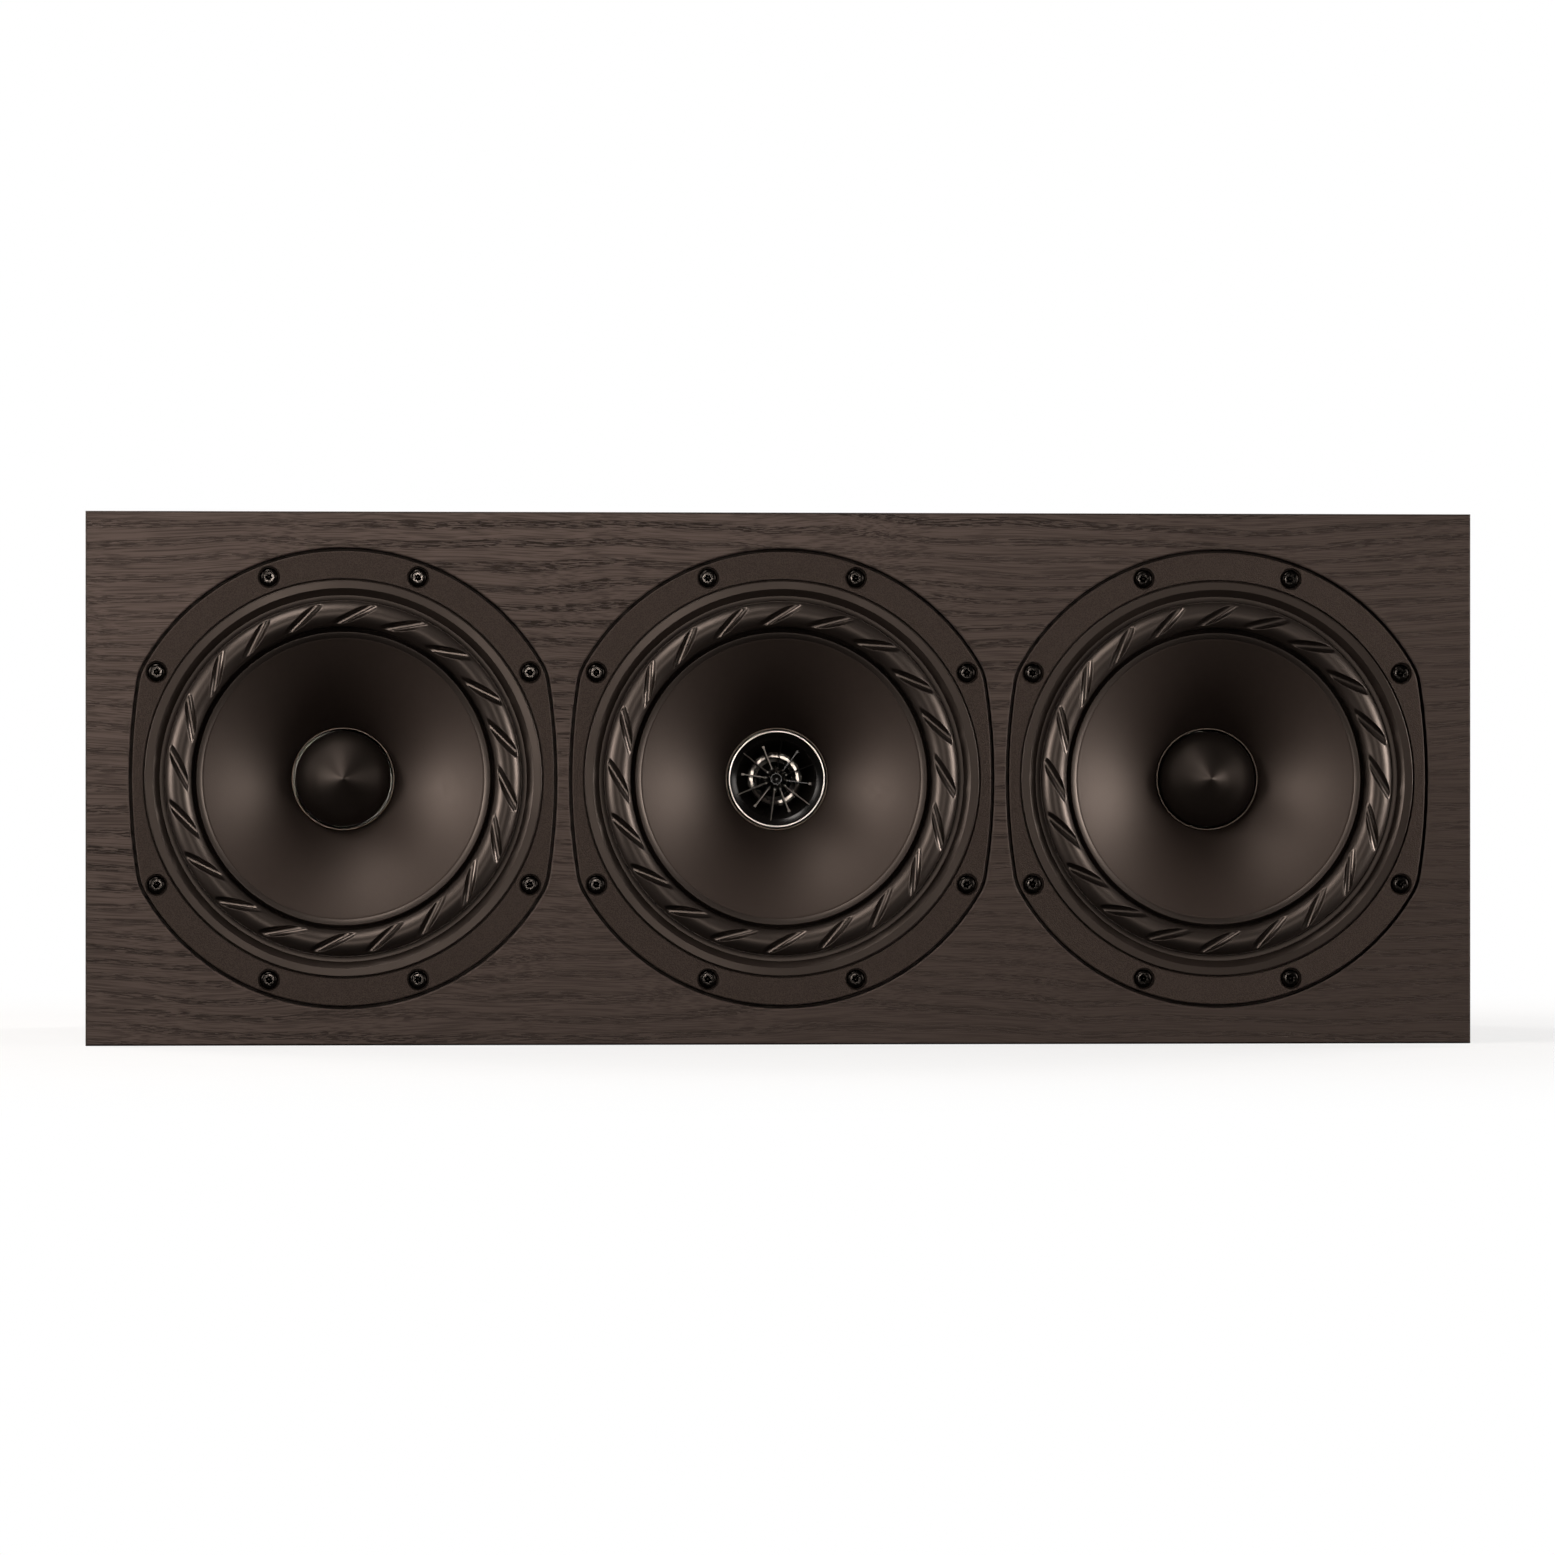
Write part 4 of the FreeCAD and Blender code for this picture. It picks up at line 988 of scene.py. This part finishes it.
def tweeter_fins():
    """The hub with its long and short fins, beads at their roots and square tips on the short ones."""
    x = DRIVERS["centre"]
    hub = softened([
        (0.0, HUB_FRONT + 1.2),
        (HUB_RADIUS - 0.5, HUB_FRONT + 0.4),
        (HUB_RADIUS - 0.4, HUB_FRONT),
        (HUB_RADIUS, HUB_FRONT),
        HUB_BASE,
        (0.0, HUB_BASE[1]),
    ], 0.1)
    fins = []
    bright = []
    for index in range(FINS):
        angle = math.radians(FIN_FIRST + 360.0 / FINS * index)
        mouth = FIN_SHORT_DEPTH if index % 2 else FIN_LONG_DEPTH
        edge = [(horn_radius(depth) - FIN_GAP, depth) for depth in np.linspace(mouth, FIN_BASE, 12)]
        root = [(FIN_ROOT, FIN_BASE), (FIN_ROOT, FIN_SHORT_DEPTH + FIN_ROOT_DROP)]
        fins.append(slab([(BEAD_CIRCLE, FIN_SHORT_DEPTH)] + edge + root, angle, FIN_THICK))
        bright.append(bead(x, BEAD_CIRCLE, angle, FIN_SHORT_DEPTH, BEAD_RADIUS))
        if index % 2:
            end = edge[0][0]
            near = mouth - TIP_AHEAD
            far = mouth + TIP_BEHIND
            pad = [(end - TIP_SIZE, near), (end, near), (end, far), (end - TIP_SIZE, far)]
            fins.append(slab(pad, angle, TIP_SIZE))
    verts = []
    faces = []
    finishes = []
    for kind, parts in enumerate(([lathe(hub, x, STEPS["hub"])], fins, bright)):
        for more, sides in parts:
            faces += [tuple(index + len(verts) for index in side) for side in sides]
            finishes += [kind] * len(sides)
            verts += more
    piece = add_piece(
        "tweeter_finned_plug", verts, faces, [SLOTS["horn_black"], SLOTS["fin_black"], HORN_LIP],
        "cabinet", 30)
    piece.data.polygons.foreach_set("material_index", finishes)
    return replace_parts(piece, "tweeter_phase_plug")


# Screws

def socket_reach(angle):
    """Radius of the six-lobed socket at an angle."""
    lobe = TURN / 6
    off = (angle + lobe / 2) % lobe - lobe / 2
    across = SOCKET_RADIUS * math.sin(off)
    if abs(across) >= SOCKET_LOBE:
        return SOCKET_RADIUS
    return max(SOCKET_RADIUS, SOCKET_RADIUS * math.cos(off) + math.sqrt(SOCKET_LOBE ** 2 - across ** 2))


def screw_rings(sides, twist):
    """Rings of (x, z, depth) points from the middle of the socket out over the domed head."""
    floor = SCREW_SINK + SOCKET_DEPTH
    outline = []
    for step in range(CROWN_STEPS + 1):
        rise = SOCKET_CROWN * math.cos(math.pi / 2 * step / CROWN_STEPS)
        outline.append((CROWN_SHARE * step / CROWN_STEPS, floor - rise))
    outline += [(0.96, floor), (1.0, floor - 0.06), (1.0, SCREW_SINK + 0.15), (1.06, SCREW_SINK + 0.02)]
    dome = SCREW_CURVE + ((SCREW_HEAD, SCREW_CURVE_END),)
    rings = []
    for share, depth in outline:
        rings.append([(socket_reach(TURN * s / sides) * share, depth) for s in range(sides)])
    for radius, drop in dome:
        rings.append([(radius, SCREW_SINK + drop)] * sides)
    rings.append([(SCREW_HEAD, SCREW_SEAT)] * sides)
    rings.append([(0.0, SCREW_SEAT)] * sides)
    placed = []
    for ring in rings:
        for s, (radius, depth) in enumerate(ring):
            angle = TURN * s / sides + twist
            placed.append((radius * math.sin(angle), radius * math.cos(angle), depth))
    return placed, len(rings)


def driver_screws():
    """Eight domed socket screws on each driver."""
    sides = SCREW_SIDES
    verts = []
    faces = []
    count = 0
    for x in DRIVERS.values():
        for angle in SCREW_ANGLES:
            for across, up in ((1, 1), (-1, 1), (1, -1), (-1, -1)):
                centre_x = x + across * SCREW_CIRCLE * math.sin(math.radians(angle))
                centre_z = AXIS_Z + up * SCREW_CIRCLE * math.cos(math.radians(angle))
                placed, rows = screw_rings(sides, math.radians(SCREW_TWIST * count))
                faces += grid_faces(rows, sides, len(verts))[:-sides]
                for dx, dz, depth in placed:
                    verts.append(((centre_x + dx) * MM, (FRONT_Y + depth) * MM, (centre_z + dz) * MM))
                count += 1
    piece = add_piece(
        "driver_socket_screws", verts, faces, [SLOTS["screw_black"]], "cabinet", 35)
    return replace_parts(piece, "driver_screws")


# Pieces on the back

def back_lathe(profile, x, segments):
    """A closed (radius, y) profile turned about a Y axis through the middle of the back."""
    return lathe([(radius, y - FRONT_Y) for radius, y in profile], x, segments)


def port_tube(name, x):
    """A flared port with a rounded flange on the back panel."""
    outer = PORT_RADIUS + PORT_WALL
    flange = outer + PORT_FLARE
    mouth = BACK_Y + PORT_LIP
    flare = []
    for step in range(17):
        angle = math.pi / 2 * step / 16
        flare.append((
            PORT_RADIUS + PORT_FLARE * (1 - math.sin(angle)),
            mouth - PORT_FLARE * (1 - math.cos(angle)),
        ))
    outside = softened([
        (outer, mouth - PORT_LENGTH),
        (outer, BACK_Y),
        (flange, BACK_Y),
        (flange, mouth - PORT_WALL / 2),
    ], 0.4)
    profile = outside + flare + [(PORT_RADIUS, mouth - PORT_LENGTH)]
    verts, faces = back_lathe(profile, x, STEPS["port"])
    piece = add_piece(
        f"{name}_flared_port", verts, faces, [SLOTS["port_plastic"]], "cabinet")
    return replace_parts(piece, f"{name}_port_tube")


def knob_section(sides):
    """How far the knob's fluted outline lies inside its round one, round the knob."""
    section = []
    for step in range(sides):
        phase = (step / sides * KNOB_FLUTES) % 1.0
        section.append(KNOB_FLUTE_DEPTH * max(0.0, math.cos(TURN * phase)) ** 0.7)
    return section


def knob(name, x, slot):
    """A fluted knob with a plain collar and a groove behind it."""
    sides = KNOB_FLUTE_STEPS * KNOB_FLUTES
    section = knob_section(sides)
    start = KNOB_START
    end = KNOB_END
    rows = [
        (KNOB_BORE, start, 0),
        (COLLAR_RADIUS - 0.6, start, 0),
        (COLLAR_RADIUS - 0.2, start + 0.2, 0),
        (COLLAR_RADIUS, start + 0.6, 0),
        (COLLAR_RADIUS, start + 1.8, 0),
        (GROOVE_RADIUS, start + 2.1, 0),
        (GROOVE_RADIUS, start + 2.5, 0),
        (KNOB_RADIUS - 0.3, start + 2.7, 0.6),
        (KNOB_RADIUS, start + 3.2, 1),
        (KNOB_RADIUS, end - 1.2, 1),
        (KNOB_RADIUS - 0.15, end - 0.6, 0.9),
        (KNOB_RADIUS - 0.6, end - 0.15, 0.6),
        (KNOB_RADIUS - 1.3, end, 0.2),
        (FACE_RADIUS, end, 0),
        (FACE_RADIUS - 0.2, end - 0.3, 0),
        (FACE_RADIUS - 0.8, end - 0.4, 0),
        (KNOB_BORE, end - 0.4, 0),
    ]
    verts = []
    for radius, y, fluted in rows:
        for step in range(sides):
            reach = radius - fluted * section[step]
            verts.append(driver_point(x, reach, TURN * step / sides, y - FRONT_Y))
    faces = grid_faces(len(rows), sides)
    piece = add_piece(
        f"{name}_fluted_knob", verts, faces, [SLOTS[slot]], f"{name}_cap", 50)
    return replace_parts(piece, f"{name}_knob")


# Studio

def studio():
    """Soft boxes at the sides, above, in front and behind, with two small ones for the plugs."""
    scene = bpy.context.scene
    scene.view_settings.view_transform = "Standard"
    target = Vector((0.0, FRONT_Y * MM, AXIS_Z * MM))
    for name, place, size, power in (
        ("left_box", (-2.60, -0.92, 0.24), (0.8, 1.2), 66.0),
        ("right_box", (1.70, -0.52, 0.22), (0.5, 0.8), 32.0),
        ("top_box", (-0.45, -0.38, 0.90), (0.8, 0.3), 6.0),
        ("left_kicker", (-0.95, -0.72, 0.42), (0.4, 0.4), 1.7),
        ("right_kicker", (0.95, -0.72, 0.26), (0.4, 0.4), 1.5),
        ("front_box", (-0.10, -3.00, 0.28), (0.25, 0.25), 10.0),
        ("back_left_box", (-1.3, 1.5, 0.9), (0.8, 1.0), 26.0),
        ("back_right_box", (1.3, 1.5, 0.9), (0.8, 1.0), 26.0),
    ):
        lamp = bpy.data.lights.new(name, "AREA")
        lamp.shape = "RECTANGLE"
        lamp.size, lamp.size_y = size
        lamp.energy = power
        lamp.color = LAMP_COLOUR
        box = bpy.data.objects.new(name, lamp)
        box.location = place
        box.rotation_euler = (target - Vector(place)).to_track_quat("-Z", "Y").to_euler()
        box.visible_camera = False
        scene.collection.objects.link(box)


def world_light():
    """A white background, dimmer towards the dark end of the room behind the camera."""
    world = bpy.data.worlds.new("studio")
    bpy.context.scene.world = world
    world.use_nodes = True
    nodes = Nodes(world.node_tree)
    shown = world.node_tree.nodes["Background"]
    path = nodes.add("LightPath").outputs
    direction = nodes.add("TexCoord").outputs["Generated"]
    behind = nodes.ramp(nodes.split(direction)["Y"], *ROOM_LIGHT)
    mirrored = nodes.math("MAXIMUM", path["Is Glossy Ray"], path["Is Transmission Ray"])
    fill = nodes.mix(mirrored, nodes.math("MULTIPLY", behind, ROOM_DIFFUSE), behind, "Float")
    nodes.put(shown.inputs["Color"], WHITE)
    nodes.put(shown.inputs["Strength"], nodes.mix(path["Is Camera Ray"], fill, 1.0, "Float"))


def floor():
    """A pale floor that fades into the white surround away from the part."""
    mesh = bpy.data.meshes.new("floor")
    signs = ((-1, -1), (1, -1), (1, 1), (-1, 1))
    mesh.from_pydata([(FLOOR_REACH * x, FLOOR_REACH * y, 0) for x, y in signs], [], [(0, 1, 2, 3)])
    piece = bpy.data.objects.new("floor", mesh)
    bpy.context.scene.collection.objects.link(piece)
    finish = Finish("floor", roughness=0.9, specular_ior_level=0.0)
    path = finish.add("LightPath").outputs
    pale = finish.mix(finish.noise(60.0), (0.74, 0.74, 0.74), (0.80, 0.80, 0.80))
    behind = finish.ramp(finish.split(finish.place)["Y"], 0.0, 0.4)
    shade = finish.mix(behind, (0.02, 0.02, 0.02), (0.30, 0.30, 0.30))
    finish.set("Base Color", finish.mix(path["Is Camera Ray"], shade, pale))
    far = finish.ramp(finish.vector("LENGTH", finish.place), 0.3, 0.8, 0.7, 1.0)
    mirrored = finish.math("MULTIPLY", path["Is Glossy Ray"], behind)
    traced = finish.math("MAXIMUM", mirrored, path["Is Transmission Ray"])
    seen = finish.math("MAXIMUM", path["Is Camera Ray"], traced)
    white = finish.add("Emission")
    finish.put(white.inputs["Color"], WHITE)
    mixed = finish.add("MixShader")
    finish.put(mixed.inputs["Fac"], finish.math("MULTIPLY", far, seen))
    finish.put(mixed.inputs[1], finish.shader.outputs["BSDF"])
    finish.put(mixed.inputs[2], white.outputs["Emission"])
    finish.put(finish.tree.nodes["Material Output"].inputs["Surface"], mixed.outputs["Shader"])
    mesh.materials.append(finish.material)


def camera():
    """A long lens almost straight in front, a little to the left."""
    image = 1555.0
    focal = 7092.2
    distance = 2779.1
    side = -185.8
    low = 13.0
    across = 29.7
    lift = 1.0
    yaw = -3.547
    lens = bpy.data.cameras.new("camera")
    lens.sensor_width = 36.0
    lens.lens = focal / image * lens.sensor_width
    lens.shift_x = across / image
    lens.shift_y = (low / distance * focal + lift) / image
    eye = bpy.data.objects.new("camera", lens)
    eye.location = (side * MM, (FRONT_Y - distance) * MM, (AXIS_Z - low) * MM)
    eye.rotation_euler = (math.radians(90.0), 0.0, math.radians(yaw))
    bpy.context.scene.collection.objects.link(eye)
    bpy.context.scene.camera = eye


finish_cad_nodes()
for driver, across in DRIVERS.items():
    surround(driver, across)
    cone(driver, across)
    voice_coil(driver, across)
    spider(driver, across)
    trim_ring(driver, across)
for driver in ("left", "right"):
    phase_plug(driver, DRIVERS[driver])
    port_tube(driver, DRIVERS[driver])
tweeter_horn()
throat_ring()
tweeter_fins()
driver_screws()
for pole, across in POSTS.items():
    knob(pole, across, "knob_red" if pole == "positive" else "knob_black")
studio()
world_light()
floor()
camera()
